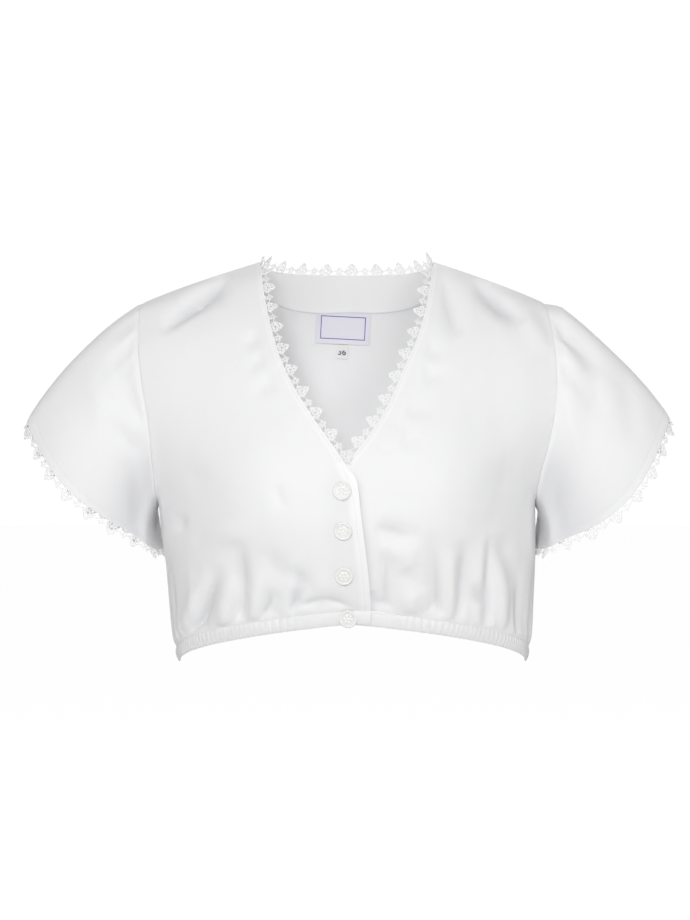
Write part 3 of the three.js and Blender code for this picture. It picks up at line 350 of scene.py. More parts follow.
@dataclass(frozen=True)
class Pattern:
    """The blouse's form: where a panel's cloth lies for its shares along and up the panel.

    Attributes:
        fold_out: How far the cuff is drawn forward before it folds under the arm.
        tuck_in: How far it lies in towards the body behind that fold.
    """

    fold_out: float = 10.0
    tuck_in: float = 5.5

    def outer(self, side: Side, panel: str, t: np.ndarray) -> np.ndarray:
        """Returns the side seam's and armhole's points of a panel at sections t."""
        names = (side.label, f"{panel}Y", f"{panel}Z")
        return np.stack([along(OUTER[name], t, corner=UNDERARM) for name in names], axis=-1)

    def turn(self, name: str, t: np.ndarray) -> np.ndarray:
        """Returns the cloth's turn at its outer edge, in radians."""
        return np.radians(along(OUTER[name], t, corner=UNDERARM))

    def front(self, side: Side, u: np.ndarray, t: np.ndarray) -> np.ndarray:
        """Places a front's points, with X counted towards its own side.

        Args:
            side: The wearer's side.
            u: Share of the way from the inner edge to the outer one.
            t: Section, from 0 at the casing to 14 at the shoulder.

        Returns:
            The points.
        """
        inner = np.stack([along(INNER[side.label + axis], t) for axis in "XYZ"], axis=-1)
        return arc(inner, self.outer(side, "front", t), self.turn("turn", t), along(OUTER["droop"], t), u)

    def back_arc(self, side: Side, u: np.ndarray, t: np.ndarray) -> np.ndarray:
        """Returns the back's points before they are drawn to the neckline."""
        inner = np.stack([np.zeros_like(t), along(CENTRE_BACK["y"], t), along(CENTRE_BACK["z"], t)], axis=-1)
        return arc(inner, self.outer(side, "back", t), self.turn("backTurn", t), along(OUTER["droop"], t), u)

    def back_top(self, side: Side, u: np.ndarray) -> np.ndarray:
        """Returns the back's top edge: half the neckline, then the shoulder seam."""
        neck_x, neck_z = (INNER[side.label + axis][NECK] for axis in "XZ")
        depth, rise = CENTRE_BACK["y"][NECK], CENTRE_BACK["z"][NECK]
        turn = np.minimum(u / NECK_SHARE, 1) * math.pi / 2
        lift = (neck_z - rise) * (1 - np.cos(turn)) ** 2
        neck = np.stack([neck_x * np.sin(turn), depth * np.cos(turn), rise + lift], axis=-1)
        way = np.clip((u - NECK_SHARE) / (1 - NECK_SHARE), 0, 1)
        shoulder = self.front(side, way, np.full_like(u, NECK))
        return np.where((u <= NECK_SHARE)[..., None], neck, shoulder)

    def back(self, side: Side, u: np.ndarray, t: np.ndarray) -> np.ndarray:
        """Returns the back's points; above the blades it is drawn forward to its top edge."""
        ramp = np.clip((t - RAMP_START) / (NECK - RAMP_START), 0, 1) ** 2
        pull = self.back_top(side, u) - self.back_arc(side, u, np.full_like(t, NECK))
        return self.back_arc(side, u, t) + pull * ramp[..., None]

    def cuff(self, side: Side, share: np.ndarray) -> np.ndarray:
        """Returns the cuff edge's points at shares of the way round."""
        rows = CUFFS[side]
        place = share * len(rows["out"])
        points = np.stack([along(rows[name], place, closed=True) for name in ("out", "y", "z")], axis=-1)
        degrees = share * 360
        points[..., 1] -= self.fold_out * np.exp(-(((degrees - 170) / 10) ** 2))
        points[..., 0] -= self.tuck_in * np.exp(-(((degrees - 206) / 18) ** 2))
        return points * (side.value, 1, 1)


def crease_height(rows: Columns, x: np.ndarray, z: np.ndarray) -> np.ndarray:
    """Sums the creases' heights at places seen from the front or from behind.

    Args:
        rows: The creases.
        x: The places' X.
        z: The places' Z.

    Returns:
        The height at each place, below zero in a trough.
    """
    total = np.zeros_like(x)
    for x1, z1, x2, z2, depth, width, deepest in zip(*rows.values()):
        dx, dz = x2 - x1, z2 - z1
        share = ((x - x1) * dx + (z - z1) * dz) / (dx * dx + dz * dz)
        away = np.hypot(x - x1 - share * dx, z - z1 - share * dz)
        reach = np.where(share < deepest, deepest, 1 - deepest)
        fade = np.maximum(0, 1 - ((share - deepest) / reach) ** 2)
        total += depth * fade * np.exp(-((away / width) ** 2))
    return total


def creased(panel: str, x: np.ndarray, z: np.ndarray) -> np.ndarray:
    """Returns the height of a panel's main and fine creases together."""
    return RELIEF * crease_height(CREASES[panel], x, z) + crease_height(FINE_CREASES[panel], x, z)


def fullness_height(rows: Columns, x: np.ndarray, z: np.ndarray) -> np.ndarray:
    """Returns the soft fullness at places seen from the front or from behind."""
    total = np.zeros_like(x)
    for cx, cz, rise, reach_x, reach_z in zip(*rows.values()):
        total += rise * np.exp(-(((x - cx) / reach_x) ** 2) - ((z - cz) / reach_z) ** 2)
    return total


def undulation(points: np.ndarray, scale: float, seed: float) -> np.ndarray:
    """Gives smooth uneven noise in space, a little longer up and down than across.

    Args:
        points: Points in millimetres, in rows of three.
        scale: Width of one swell in millimetres.
        seed: Shifts the pattern.

    Returns:
        Values from about -1 to 1, with the points' leading shape.
    """
    flat = points.reshape(-1, 3) / (scale, scale, scale * 1.7) + seed
    values = np.fromiter((noise.noise(Vector(p)) for p in flat), dtype=float, count=len(flat))
    return values.reshape(points.shape[:-1])


@dataclass(frozen=True)
class Gathers:
    """Fine folds of the elastic casing, which run on a little way up the cloth."""

    pitch: float = 4.9
    unevenness: float = 0.45
    seed: float = 1.0

    def wave(self, way: np.ndarray) -> np.ndarray:
        """Returns the folds' height, from 0 to 1, at distances along the hem."""
        drift = np.sin(way / 23.0 + self.seed) + 0.6 * np.sin(way / 9.7 + 2.1 * self.seed)
        phase = way / self.pitch + self.unevenness * drift
        tall = 0.72 + 0.28 * np.sin(way / 13.0 + 1.7 * self.seed)
        return (0.5 + 0.5 * np.cos(2 * math.pi * phase)) ** 0.5 * tall


def unit(vectors: np.ndarray) -> np.ndarray:
    """Returns the vectors at length one."""
    return vectors / np.maximum(np.linalg.norm(vectors, axis=-1, keepdims=True), 1e-12)


@dataclass
class Cloth:
    """A sheet of cloth as rows and columns of points.

    Attributes:
        name: The finished piece's name.
        points: Points of the middle of the cloth, rows by columns.
        flip: Whether the faces are turned round to point outwards.
        closed: Whether the last column joins the first.
        heights: Relief along the cloth's own normals.
        layers: 0 for single cloth to 1 for doubled cloth.
        hollows: Painted shade, 0 on open cloth to 1 at the bottom of a deep fold.
    """

    name: str
    points: np.ndarray
    flip: bool
    closed: bool = False
    heights: np.ndarray = field(init=False)
    layers: np.ndarray = field(init=False)
    hollows: np.ndarray = field(init=False)
    normals: np.ndarray = field(init=False)

    def __post_init__(self) -> None:
        """Starts without relief."""
        self.heights = np.zeros(self.points.shape[:2])
        self.layers = np.zeros(self.points.shape[:2])
        self.hollows = np.zeros(self.points.shape[:2])
        self.normals = np.zeros_like(self.points)

    def faces(self) -> np.ndarray:
        """Returns the four-sided faces, turned outwards."""
        rows, columns = self.points.shape[:2]
        ids = np.arange(rows * columns).reshape(rows, columns)
        if self.closed:
            ids = np.concatenate([ids, ids[:, :1]], axis=1)
        quads = np.stack([ids[:-1, :-1], ids[:-1, 1:], ids[1:, 1:], ids[1:, :-1]], axis=-1).reshape(-1, 4)
        return quads[:, ::-1] if self.flip else quads

    def sample(self, rows: np.ndarray, columns: np.ndarray) -> tuple[np.ndarray, np.ndarray]:
        """Reads the cloth between its points.

        Args:
            rows: Places in rows.
            columns: Places in columns, of the same length.

        Returns:
            The points and their normals.
        """
        count, width = self.points.shape[:2]
        rows, columns = np.broadcast_arrays(np.asarray(rows, float), np.asarray(columns, float))
        i = np.clip(np.floor(rows).astype(int), 0, count - 2)
        most = width if self.closed else width - 1
        j = np.clip(np.floor(columns).astype(int), 0, most - 1)
        f, g = (rows - i)[..., None], (columns - j)[..., None]
        found = []
        for values in (self.points, self.normals):
            near = values[i, j] * (1 - g) + values[i, (j + 1) % width] * g
            far = values[i + 1, j] * (1 - g) + values[i + 1, (j + 1) % width] * g
            found.append(near * (1 - f) + far * f)
        return found[0], unit(found[1])

    def flat_places(self) -> np.ndarray:
        """Returns each point's place on the flat cloth, in millimetres, for the weave."""
        middle_row = self.points[self.points.shape[0] // 2]
        middle_column = self.points[:, self.points.shape[1] // 2]
        across, up = (
            np.concatenate([[0], np.cumsum(np.linalg.norm(np.diff(line, axis=0), axis=1))])
            for line in (middle_row, middle_column)
        )
        return np.stack(np.meshgrid(across, up), axis=-1)


def find_normals(cloths: list[Cloth], shared: np.ndarray) -> None:
    """Finds the cloths' normals together, so that both sides of a seam have the same ones.

    Args:
        cloths: The cloths.
        shared: One number for each point of all cloths, the same for points that meet.
    """
    total = np.zeros((shared.max() + 1, 3))
    start = 0
    for cloth in cloths:
        flat = cloth.points.reshape(-1, 3)
        faces = cloth.faces()
        a, b, c, d = (flat[faces[:, k]] for k in range(4))
        normal = np.cross(c - a, d - b)
        for k in range(4):
            np.add.at(total, shared[faces[:, k] + start], normal)
        start += len(flat)
    total = unit(total)
    start = 0
    for cloth in cloths:
        count = cloth.points.shape[0] * cloth.points.shape[1]
        cloth.normals = total[shared[start : start + count]].reshape(cloth.points.shape)
        start += count


def meeting_points(cloths: list[Cloth]) -> np.ndarray:
    """Numbers all points of the cloths, with one number for those that meet at a seam."""
    flat = np.concatenate([cloth.points.reshape(-1, 3) for cloth in cloths])
    keys = np.round(flat / 0.02).astype(np.int64)
    _, shared = np.unique(keys, axis=0, return_inverse=True)
    return shared.reshape(-1)


def relieve(cloths: list[Cloth]) -> None:
    """Raises each cloth by its relief and finds the normals of the finished form."""
    shared = meeting_points(cloths)
    find_normals(cloths, shared)
    count = shared.max() + 1
    heights = np.concatenate([cloth.heights.reshape(-1) for cloth in cloths])
    uses = np.bincount(shared, minlength=count)
    mean = np.bincount(shared, weights=heights, minlength=count) / uses
    start = 0
    for cloth in cloths:
        size = cloth.heights.size
        lift = mean[shared[start : start + size]].reshape(cloth.heights.shape)
        cloth.points = cloth.points + cloth.normals * lift[..., None]
        start += size
    find_normals(cloths, shared)


def ring_faces(rings: int, around: int) -> list[tuple[int, ...]]:
    """Returns the four-sided faces between rings of points."""
    faces = []
    for i in range(rings - 1):
        for k in range(around):
            following = (k + 1) % around
            near, far = i * around, (i + 1) * around
            faces.append((near + k, far + k, far + following, near + following))
    return faces


def mesh_object(
    name: str,
    points: np.ndarray,
    faces: list[tuple[int, ...]] | np.ndarray,
    material: bpy.types.Material,
    sharp: float = 50.0,
) -> bpy.types.Object:
    """Makes a mesh object at the origin from points in millimetres.

    Args:
        name: The object's name.
        points: Its vertices.
        faces: Its faces.
        material: Its material.
        sharp: Angle in degrees over which an edge is drawn sharp.

    Returns:
        The new object, linked to the scene.
    """
    mesh = bpy.data.meshes.new(name)
    mesh.from_pydata((np.asarray(points) * MM).tolist(), [], [tuple(map(int, face)) for face in faces])
    mesh.materials.append(material)
    mesh.shade_smooth()
    mesh.set_sharp_from_angle(angle=math.radians(sharp))
    mesh.update()
    made = bpy.data.objects.new(name, mesh)
    bpy.context.scene.collection.objects.link(made)
    return made


def add_uv(made: bpy.types.Object, places: np.ndarray) -> None:
    """Gives a mesh a UV map from one flat place, in millimetres, for each vertex."""
    corners = np.empty(len(made.data.loops), dtype=np.int32)
    made.data.loops.foreach_get("vertex_index", corners)
    layer = made.data.uv_layers.new(name="flat")
    layer.data.foreach_set("uv", (places[corners] * MM).astype(np.float32).reshape(-1))


def add_values(made: bpy.types.Object, name: str, values: np.ndarray) -> None:
    """Gives a mesh one number for each vertex, for its material to read."""
    attribute = made.data.attributes.new(name, "FLOAT", "POINT")
    attribute.data.foreach_set("value", values.astype(np.float32).reshape(-1))


def wall_object(
    cloth: Cloth, material: bpy.types.Material, above: float = CLOTH / 2, below: float = CLOTH / 2
) -> bpy.types.Object:
    """Gives a cloth its thickness as one closed mesh.

    Args:
        cloth: The cloth.
        material: Its material.
        above: How far the outer side stands out from the cloth's middle.
        below: How far the inner side stands in from it.

    Returns:
        The new object.
    """
    flat, normals = cloth.points.reshape(-1, 3), cloth.normals.reshape(-1, 3)
    extra = cloth.layers.reshape(-1, 1) * 0.14
    points = np.concatenate([flat + normals * (above + extra), flat - normals * below])
    count = len(flat)
    quads = cloth.faces()
    edges = np.concatenate([quads[:, [k, (k + 1) % 4]] for k in range(4)])
    keys, back_keys = edges[:, 0] * count + edges[:, 1], edges[:, 1] * count + edges[:, 0]
    rim = edges[~np.isin(keys, back_keys)]
    sides = np.stack([rim[:, 1], rim[:, 0], rim[:, 0] + count, rim[:, 1] + count], axis=-1)
    faces = np.concatenate([quads, quads[:, ::-1] + count, sides])
    made = mesh_object(cloth.name, points, faces, material)
    add_uv(made, np.tile(cloth.flat_places().reshape(-1, 2), (2, 1)))
    add_values(made, "layers", np.tile(cloth.layers.reshape(-1), 2))
    # Painted shade, from 0 to 1, for the material to mix in
    add_values(made, "hollows", np.tile(np.clip(cloth.hollows, 0, 1).reshape(-1), 2))
    return made


class Socket(Enum):
    """Kinds of node sockets that the groups use."""

    GEOMETRY = "NodeSocketGeometry"
    OBJECT = "NodeSocketObject"
    MATERIAL = "NodeSocketMaterial"
    FLOAT = "NodeSocketFloat"
    INTEGER = "NodeSocketInt"


class NodeSheet:
    """A node tree under construction, with short ways to add and join nodes."""

    def __init__(self, tree: bpy.types.NodeTree) -> None:
        """Keeps the tree."""
        self.tree = tree

    def feed(self, target: bpy.types.NodeSocket, value: object) -> None:
        """Joins an output to an input, or sets the input to a plain value.

        Args:
            target: The input.
            value: The output or the plain value.
        """
        if isinstance(value, bpy.types.NodeSocket):
            self.tree.links.new(value, target)
        else:
            target.default_value = value

    def add(self, kind: str, inputs: Inputs | None = None, **settings: object) -> bpy.types.Node:
        """Adds a node.

        Args:
            kind: The node's type.
            inputs: Its inputs by name or number, each an output to join or a plain value.
            settings: Its properties.

        Returns:
            The node.
        """
        node = self.tree.nodes.new(kind)
        for name, value in settings.items():
            setattr(node, name, value)
        for key, value in (inputs or {}).items():
            self.feed(node.inputs[key], value)
        return node

    def math(self, operation: str, *values: bpy.types.NodeSocket | float) -> bpy.types.NodeSocket:
        """Returns the output of a Math node of numbers and outputs."""
        return self.add("ShaderNodeMath", dict(enumerate(values)), operation=operation).outputs[0]

    def scaled(self, vector: bpy.types.NodeSocket, by: bpy.types.NodeSocket) -> bpy.types.NodeSocket:
        """Returns a vector times a number."""
        return self.add("ShaderNodeVectorMath", {0: vector, "Scale": by}, operation="SCALE").outputs[0]

    def summed(self, first: bpy.types.NodeSocket, second: bpy.types.NodeSocket) -> bpy.types.NodeSocket:
        """Returns the sum of two vectors."""
        return self.add("ShaderNodeVectorMath", {0: first, 1: second}, operation="ADD").outputs[0]

    def path_vector(self, name: str) -> bpy.types.NodeSocket:
        """Returns a named vector that the path carries."""
        kind = "GeometryNodeInputNamedAttribute"
        return self.add(kind, {"Name": name}, data_type="FLOAT_VECTOR").outputs[0]

    def copies(
        self, points: bpy.types.NodeSocket, item: bpy.types.NodeSocket, **turn: object
    ) -> bpy.types.NodeSocket:
        """Puts an object on every point and makes the copies real.

        Args:
            points: The points.
            item: The object.
            turn: The copies' Rotation and Scale, where they have them.

        Returns:
            The whole as one mesh.
        """
        shape = self.add("GeometryNodeObjectInfo", {"Object": item}).outputs["Geometry"]
        placed = self.add("GeometryNodeInstanceOnPoints", {"Points": points, "Instance": shape, **turn})
        return self.add("GeometryNodeRealizeInstances", {0: placed.outputs[0]}).outputs[0]

    def dress(self, geometry: bpy.types.NodeSocket, material: bpy.types.NodeSocket, leave: Inputs) -> None:
        """Gives a mesh its material and hands it out of the group."""
        dressed = self.add("GeometryNodeSetMaterial", {"Geometry": geometry, "Material": material})
        self.feed(leave["Geometry"], dressed.outputs[0])


def start_group(
    name: str, kind: str, inputs: dict[str, tuple[Socket, float | None]], outputs: dict[str, Socket]
) -> tuple[NodeSheet, Inputs, Inputs]:
    """Starts a node group with its sockets.

    Args:
        name: The group's name.
        kind: Its type of tree.
        inputs: Kind and default of each input by name.
        outputs: Kind of each output by name.

    Returns:
        The group's nodes, what enters it and what leaves it.
    """
    sheet = NodeSheet(bpy.data.node_groups.new(name, kind))
    sockets = [(label, "INPUT", *how) for label, how in inputs.items()]
    sockets += [(label, "OUTPUT", how, None) for label, how in outputs.items()]
    for label, way, socket, value in sockets:
        made = sheet.tree.interface.new_socket(name=label, in_out=way, socket_type=socket.value)
        if value is not None:
            made.default_value = value
    return sheet, sheet.add("NodeGroupInput").outputs, sheet.add("NodeGroupOutput").inputs


def start_material(name: str, values: Inputs) -> tuple[bpy.types.Material, NodeSheet, Inputs]:
    """Starts a material.

    Args:
        name: The material's name.
        values: The shader's plain values.

    Returns:
        The material, its nodes and its shader's inputs.
    """
    material = bpy.data.materials.new(name)
    material.use_nodes = True
    shader = material.node_tree.nodes["Principled BSDF"].inputs
    for key, value in values.items():
        shader[key].default_value = value
    return material, NodeSheet(material.node_tree), shader


def weave_group() -> bpy.types.NodeTree:
    """Builds the plain weave that every woven finish uses.

    Returns:
        A group with the inputs Threads and Slub and the outputs Height and Tone.
    """
    sheet, enter, leave = start_group(
        "PlainWeave",
        "ShaderNodeTree",
        {"Threads": (Socket.FLOAT, 2600.0), "Slub": (Socket.FLOAT, 0.35)},
        {"Height": Socket.FLOAT, "Tone": Socket.FLOAT},
    )
    place = sheet.add("ShaderNodeUVMap", uv_map="flat").outputs["UV"]
    parts = sheet.add("ShaderNodeSeparateXYZ", {0: place}).outputs
    turn = sheet.math("MULTIPLY", enter["Threads"], math.pi)
    warp, weft = (sheet.math("SINE", sheet.math("MULTIPLY", parts[k], turn)) for k in (0, 1))
    crossing = sheet.math("MULTIPLY", warp, weft)
    slubs = []
    for stretch in ((90.0, 1400.0, 1.0), (1400.0, 90.0, 1.0)):
        drawn = sheet.add("ShaderNodeMapping", {"Scale": stretch, "Vector": place}).outputs["Vector"]
        inputs = {"Scale": 1.0, "Detail": 2.0, "Vector": drawn}
        slubs.append(sheet.add("ShaderNodeTexNoise", inputs, noise_dimensions="2D").outputs[0])
    tone = sheet.math("MULTIPLY", sheet.math("ADD", *slubs), 0.5)
    uneven = sheet.math("MULTIPLY", sheet.math("SUBTRACT", tone, 0.5), enter["Slub"])
    height = sheet.math("ADD", sheet.math("MULTIPLY_ADD", crossing, 0.25, 0.5), uneven)
    sheet.feed(leave["Height"], height)
    sheet.feed(leave["Tone"], tone)
    return sheet.tree


def mixed(
    sheet: NodeSheet, share: bpy.types.NodeSocket, first: Colour | bpy.types.NodeSocket, second: Colour
) -> bpy.types.NodeSocket:
    """Returns a colour between two others.

    Args:
        sheet: The material's nodes.
        share: How much of the second colour there is.
        first: The first colour.
        second: The second colour.

    Returns:
        The colour's output.
    """
    start = first if isinstance(first, bpy.types.NodeSocket) else (*first, 1.0)
    return sheet.add("ShaderNodeMix", {0: share, 6: start, 7: (*second, 1.0)}, data_type="RGBA").outputs[2]


@dataclass(frozen=True)
class WovenFinish:
    """Smooth woven cloth, whiter where it is doubled, with painted shade that greys it deep in a fold and in
    other shaded places.
    """

    name: str
    single: Colour = (0.885, 0.886, 0.893)
    doubled: Colour = (0.965, 0.966, 0.97)
    # Painted shade colour, mixed in by the painted shade attribute
    deep: Colour = (0.74, 0.742, 0.755)
    roughness: float = 0.6
    sheen: float = 0.25
    threads: float = 2600.0
    weave_depth: float = 0.00006
    thinness: float = 0.25
    glow_depth: float = 0.0015

    def start(self, group: bpy.types.NodeTree) -> tuple[bpy.types.Material, NodeSheet, Inputs, Inputs]:
        """Starts the material with its plain values and its weave.

        Args:
            group: The weave group.

        Returns:
            The material, its nodes, its shader's inputs and the weave's outputs.
        """
        values = {
            "Roughness": self.roughness,
            "Sheen Weight": self.sheen,
            "Sheen Roughness": 0.4,
            "Specular IOR Level": 0.35,
            "Subsurface Weight": self.thinness,
            "Subsurface Radius": (1.0, 1.0, 1.0),
            "Subsurface Scale": self.glow_depth,
        }
        material, sheet, shader = start_material(self.name, values)
        weave = sheet.add("ShaderNodeGroup", {"Threads": self.threads}, node_tree=group).outputs
        inputs = {"Strength": 0.5, "Distance": self.weave_depth, "Height": weave["Height"]}
        sheet.feed(shader["Normal"], sheet.add("ShaderNodeBump", inputs).outputs["Normal"])
        return material, sheet, shader, weave

    def build(self, group: bpy.types.NodeTree) -> bpy.types.Material:
        """Builds the material around the weave group."""
        material, sheet, shader, weave = self.start(group)
        layers, hollows = (
            sheet.add("ShaderNodeAttribute", attribute_name=name).outputs["Fac"]
            for name in ("layers", "hollows")
        )
        share = sheet.math("ADD", layers, sheet.math("MULTIPLY_ADD", weave["Tone"], 0.5, -0.25))
        plain = mixed(sheet, share, self.single, self.doubled)
        # Painted shade: the cloth is mixed towards the grey shade colour by the painted shade attribute
        sheet.feed(shader["Base Color"], mixed(sheet, hollows, plain, self.deep))
        return material


@dataclass(frozen=True)
class LabelFinish(WovenFinish):
    """Woven satin label with one plain border line."""

    line: Colour = (0.16, 0.10, 0.42)
    half_width: float = 19.6
    half_height: float = 9.8
    line_width: float = 0.75

    def build(self, group: bpy.types.NodeTree) -> bpy.types.Material:
        """Builds the material; the UV map is centred on the label."""
        material, sheet, shader, weave = self.start(group)
        place = sheet.add("ShaderNodeUVMap", uv_map="flat").outputs["UV"]
        parts = sheet.add("ShaderNodeSeparateXYZ", {0: place}).outputs
        inside = []
        for grown in (self.line_width / 2, -self.line_width / 2):
            sides = [
                sheet.math("LESS_THAN", sheet.math("ABSOLUTE", parts[k]), (size + grown) * MM)
                for k, size in enumerate((self.half_width, self.half_height))
            ]
            inside.append(sheet.math("MULTIPLY", *sides))
        cloth = mixed(sheet, weave["Tone"], self.single, self.doubled)
        sheet.feed(shader["Base Color"], mixed(sheet, sheet.math("SUBTRACT", *inside), cloth, self.line))
        return material


@dataclass(frozen=True)
class ThreadFinish:
    """Twisted cotton thread, for lace and stitches."""

    name: str
    colour: Colour = (0.99, 0.99, 0.985)
    shaded: Colour = (0.96, 0.96, 0.96)
    twist: float = 1500.0

    def build(self) -> bpy.types.Material:
        """Builds the material."""
        material, sheet, shader = start_material(self.name, {"Roughness": 0.7, "Sheen Weight": 0.6})
        place = sheet.add("ShaderNodeTexCoord").outputs["Object"]
        inputs = {"Scale": self.twist, "Distortion": 2.0, "Vector": place}
        wave = sheet.add("ShaderNodeTexWave", inputs, bands_direction="DIAGONAL").outputs["Fac"]
        bump = sheet.add("ShaderNodeBump", {"Strength": 0.5, "Distance": 0.0001, "Height": wave})
        sheet.feed(shader["Normal"], bump.outputs["Normal"])
        sheet.feed(shader["Base Color"], mixed(sheet, wave, self.shaded, self.colour))
        return material


@dataclass(frozen=True)
class PearlFinish:
    """Carved pearly button, a little darker in the low parts of its carving by painted shade."""

    name: str = "carved_pearl"
    high: Colour = (0.985, 0.982, 0.975)
    # The low colour is painted shade for the low parts of the carving
    low: Colour = (0.80, 0.79, 0.775)

    def build(self) -> bpy.types.Material:
        """Builds the material, which reads how high each point of the carving is."""
        material, sheet, shader = start_material(self.name, {"Coat Weight": 0.4, "Coat Roughness": 0.15})
        carved = sheet.add("ShaderNodeAttribute", attribute_name="carved").outputs["Fac"]
        place = sheet.add("ShaderNodeTexCoord").outputs["Object"]
        cloud = sheet.add("ShaderNodeTexNoise", {"Scale": 420.0, "Vector": place}).outputs[0]
        share = sheet.math("ADD", carved, sheet.math("MULTIPLY_ADD", cloud, 0.3, -0.15))
        # Painted shade: lower carving is mixed towards the low colour
        sheet.feed(shader["Base Color"], mixed(sheet, share, self.low, self.high))
        sheet.feed(shader["Roughness"], sheet.math("MULTIPLY_ADD", cloud, 0.25, 0.16))
        return material


@dataclass(frozen=True)
class StageFinish:
    """Even studio ground that shows white but throws little light back up."""

    name: str = "studio_ground"
    shown: float = 0.9
    thrown: float = 0.35

    def build(self) -> bpy.types.Material:
        """Builds the material."""
        values = {
            "Base Color": (0.3, 0.3, 0.3, 1.0),
            "Roughness": 1.0,
            "Specular IOR Level": 0.0,
            "Emission Color": (1.0, 1.0, 1.0, 1.0),
        }
        material, sheet, shader = start_material(self.name, values)
        seen = sheet.add("ShaderNodeLightPath").outputs["Is Camera Ray"]
        share = sheet.math("MULTIPLY_ADD", seen, self.shown - self.thrown, self.thrown)
        sheet.feed(shader["Emission Strength"], share)
        return material


@dataclass(frozen=True)
class Finishes:
    """All materials of the blouse and its studio."""

    cotton: bpy.types.Material
    lace: bpy.types.Material
    stitch: bpy.types.Material
    pearl: bpy.types.Material
    label: bpy.types.Material
    tab: bpy.types.Material
    figures: bpy.types.Material
    ground: bpy.types.Material

    @classmethod
    def build(cls) -> Finishes:
        """Builds every material once."""
        weave = weave_group()
        pale, bright = (0.83, 0.82, 0.92), (0.88, 0.87, 0.95)
        satin = LabelFinish("label_satin", pale, bright, roughness=0.45, threads=3200.0)
        tab = WovenFinish("tab_satin", (0.90, 0.89, 0.89), (0.95, 0.94, 0.93), threads=3200.0)
        return cls(
            cotton=WovenFinish("white_cotton").build(weave),
            lace=ThreadFinish("lace_thread").build(),
            stitch=ThreadFinish("sewing_thread", (0.88, 0.882, 0.89), (0.78, 0.785, 0.8), 3000.0).build(),
            pearl=PearlFinish().build(),
            label=satin.build(weave),
            tab=tab.build(weave),
            figures=ThreadFinish("figure_thread", (0.16, 0.16, 0.2), (0.1, 0.1, 0.13)).build(),
            ground=StageFinish().build(),
        )


def path_object(name: str, points: np.ndarray, vectors: dict[str, np.ndarray]) -> bpy.types.Object:
    """Makes a line of points that carries vectors, for a Geometry Nodes tree to follow.

    Args:
        name: The object's name.
        points: The points, in millimetres.
        vectors: Named unit vectors, one for each point.

    Returns:
        The new object.
    """
    mesh = bpy.data.meshes.new(name)
    mesh.from_pydata((points * MM).tolist(), [(k, k + 1) for k in range(len(points) - 1)], [])
    for key, values in vectors.items():
        attribute = mesh.attributes.new(key, "FLOAT_VECTOR", "POINT")
        attribute.data.foreach_set("vector", values.astype(np.float32).reshape(-1))
    made = bpy.data.objects.new(name, mesh)
    bpy.context.scene.collection.objects.link(made)
    return made


def grown(path: bpy.types.Object, tree: bpy.types.NodeTree, values: dict[str, object]) -> bpy.types.Object:
    """Runs a Geometry Nodes tree on a path and keeps the result as a plain mesh.

    Args:
        path: The path; its modifier is removed and its mesh replaced.
        tree: The tree.
        values: The tree's inputs by name.

    Returns:
        The same object with its finished mesh.
    """
    modifier = path.modifiers.new(tree.name, "NODES")
    modifier.node_group = tree
    for item in tree.interface.items_tree:
        if item.item_type == "SOCKET" and item.in_out == "INPUT" and item.name in values:
            modifier[item.identifier] = values[item.name]
    bpy.context.view_layer.update()
    evaluated = path.evaluated_get(bpy.context.evaluated_depsgraph_get())
    mesh = bpy.data.meshes.new_from_object(evaluated)
    path.modifiers.remove(modifier)
    path.data = mesh
    mesh.name = path.name
    mesh.shade_smooth()
    return path


def lace_tree() -> bpy.types.NodeTree:
    """Builds the tree that repeats a motif and bends the run of them along an edge."""
    inputs = {
        "Geometry": (Socket.GEOMETRY, None),
        "Motif": (Socket.OBJECT, None),
        "Repeat": (Socket.FLOAT, 0.024),
        "Ripple": (Socket.FLOAT, 0.0004),
        "Material": (Socket.MATERIAL, None),
    }
    sheet, enter, leave = start_group("LaceTrim", "GeometryNodeTree", inputs, {"Geometry": Socket.GEOMETRY})
    curve = sheet.add("GeometryNodeMeshToCurve", {0: enter["Geometry"]}).outputs[0]
    length = sheet.add("GeometryNodeCurveLength", {0: curve}).outputs[0]
    count = sheet.math("ROUND", sheet.math("DIVIDE", length, enter["Repeat"]))
    step = sheet.math("DIVIDE", length, count)
    offset = sheet.add("ShaderNodeCombineXYZ", {0: enter["Repeat"]}).outputs[0]
    line = sheet.add("GeometryNodeMeshLine", {"Count": count, "Offset": offset}).outputs[0]
    whole = sheet.copies(line, enter["Motif"])
    place = sheet.add("GeometryNodeInputPosition").outputs[0]
    parts = sheet.add("ShaderNodeSeparateXYZ", {0: place}).outputs
    way = sheet.math("MULTIPLY", sheet.math("DIVIDE", parts[0], enter["Repeat"]), step)
    outward, facing = (
        sheet.add(
            "GeometryNodeSampleCurve",
            {"Curves": curve, "Value": sheet.path_vector(name), "Length": way},
            data_type="FLOAT_VECTOR",
            mode="LENGTH",
        ).outputs
        for name in ("outward", "facing")
    )
    swell = sheet.math("SINE", sheet.math("MULTIPLY", way, 410.0))
    lean = sheet.math("MULTIPLY", sheet.math("MULTIPLY", parts[1], 90.0), enter["Ripple"])
    rise = sheet.math("ADD", parts[2], sheet.math("MULTIPLY", swell, lean))
    bend = sheet.summed(sheet.scaled(outward["Value"], parts[1]), sheet.scaled(facing["Value"], rise))
    target = sheet.summed(outward["Position"], bend)
    bent = sheet.add("GeometryNodeSetPosition", {"Geometry": whole, "Position": target}).outputs[0]
    sheet.dress(bent, enter["Material"], leave)
    return sheet.tree


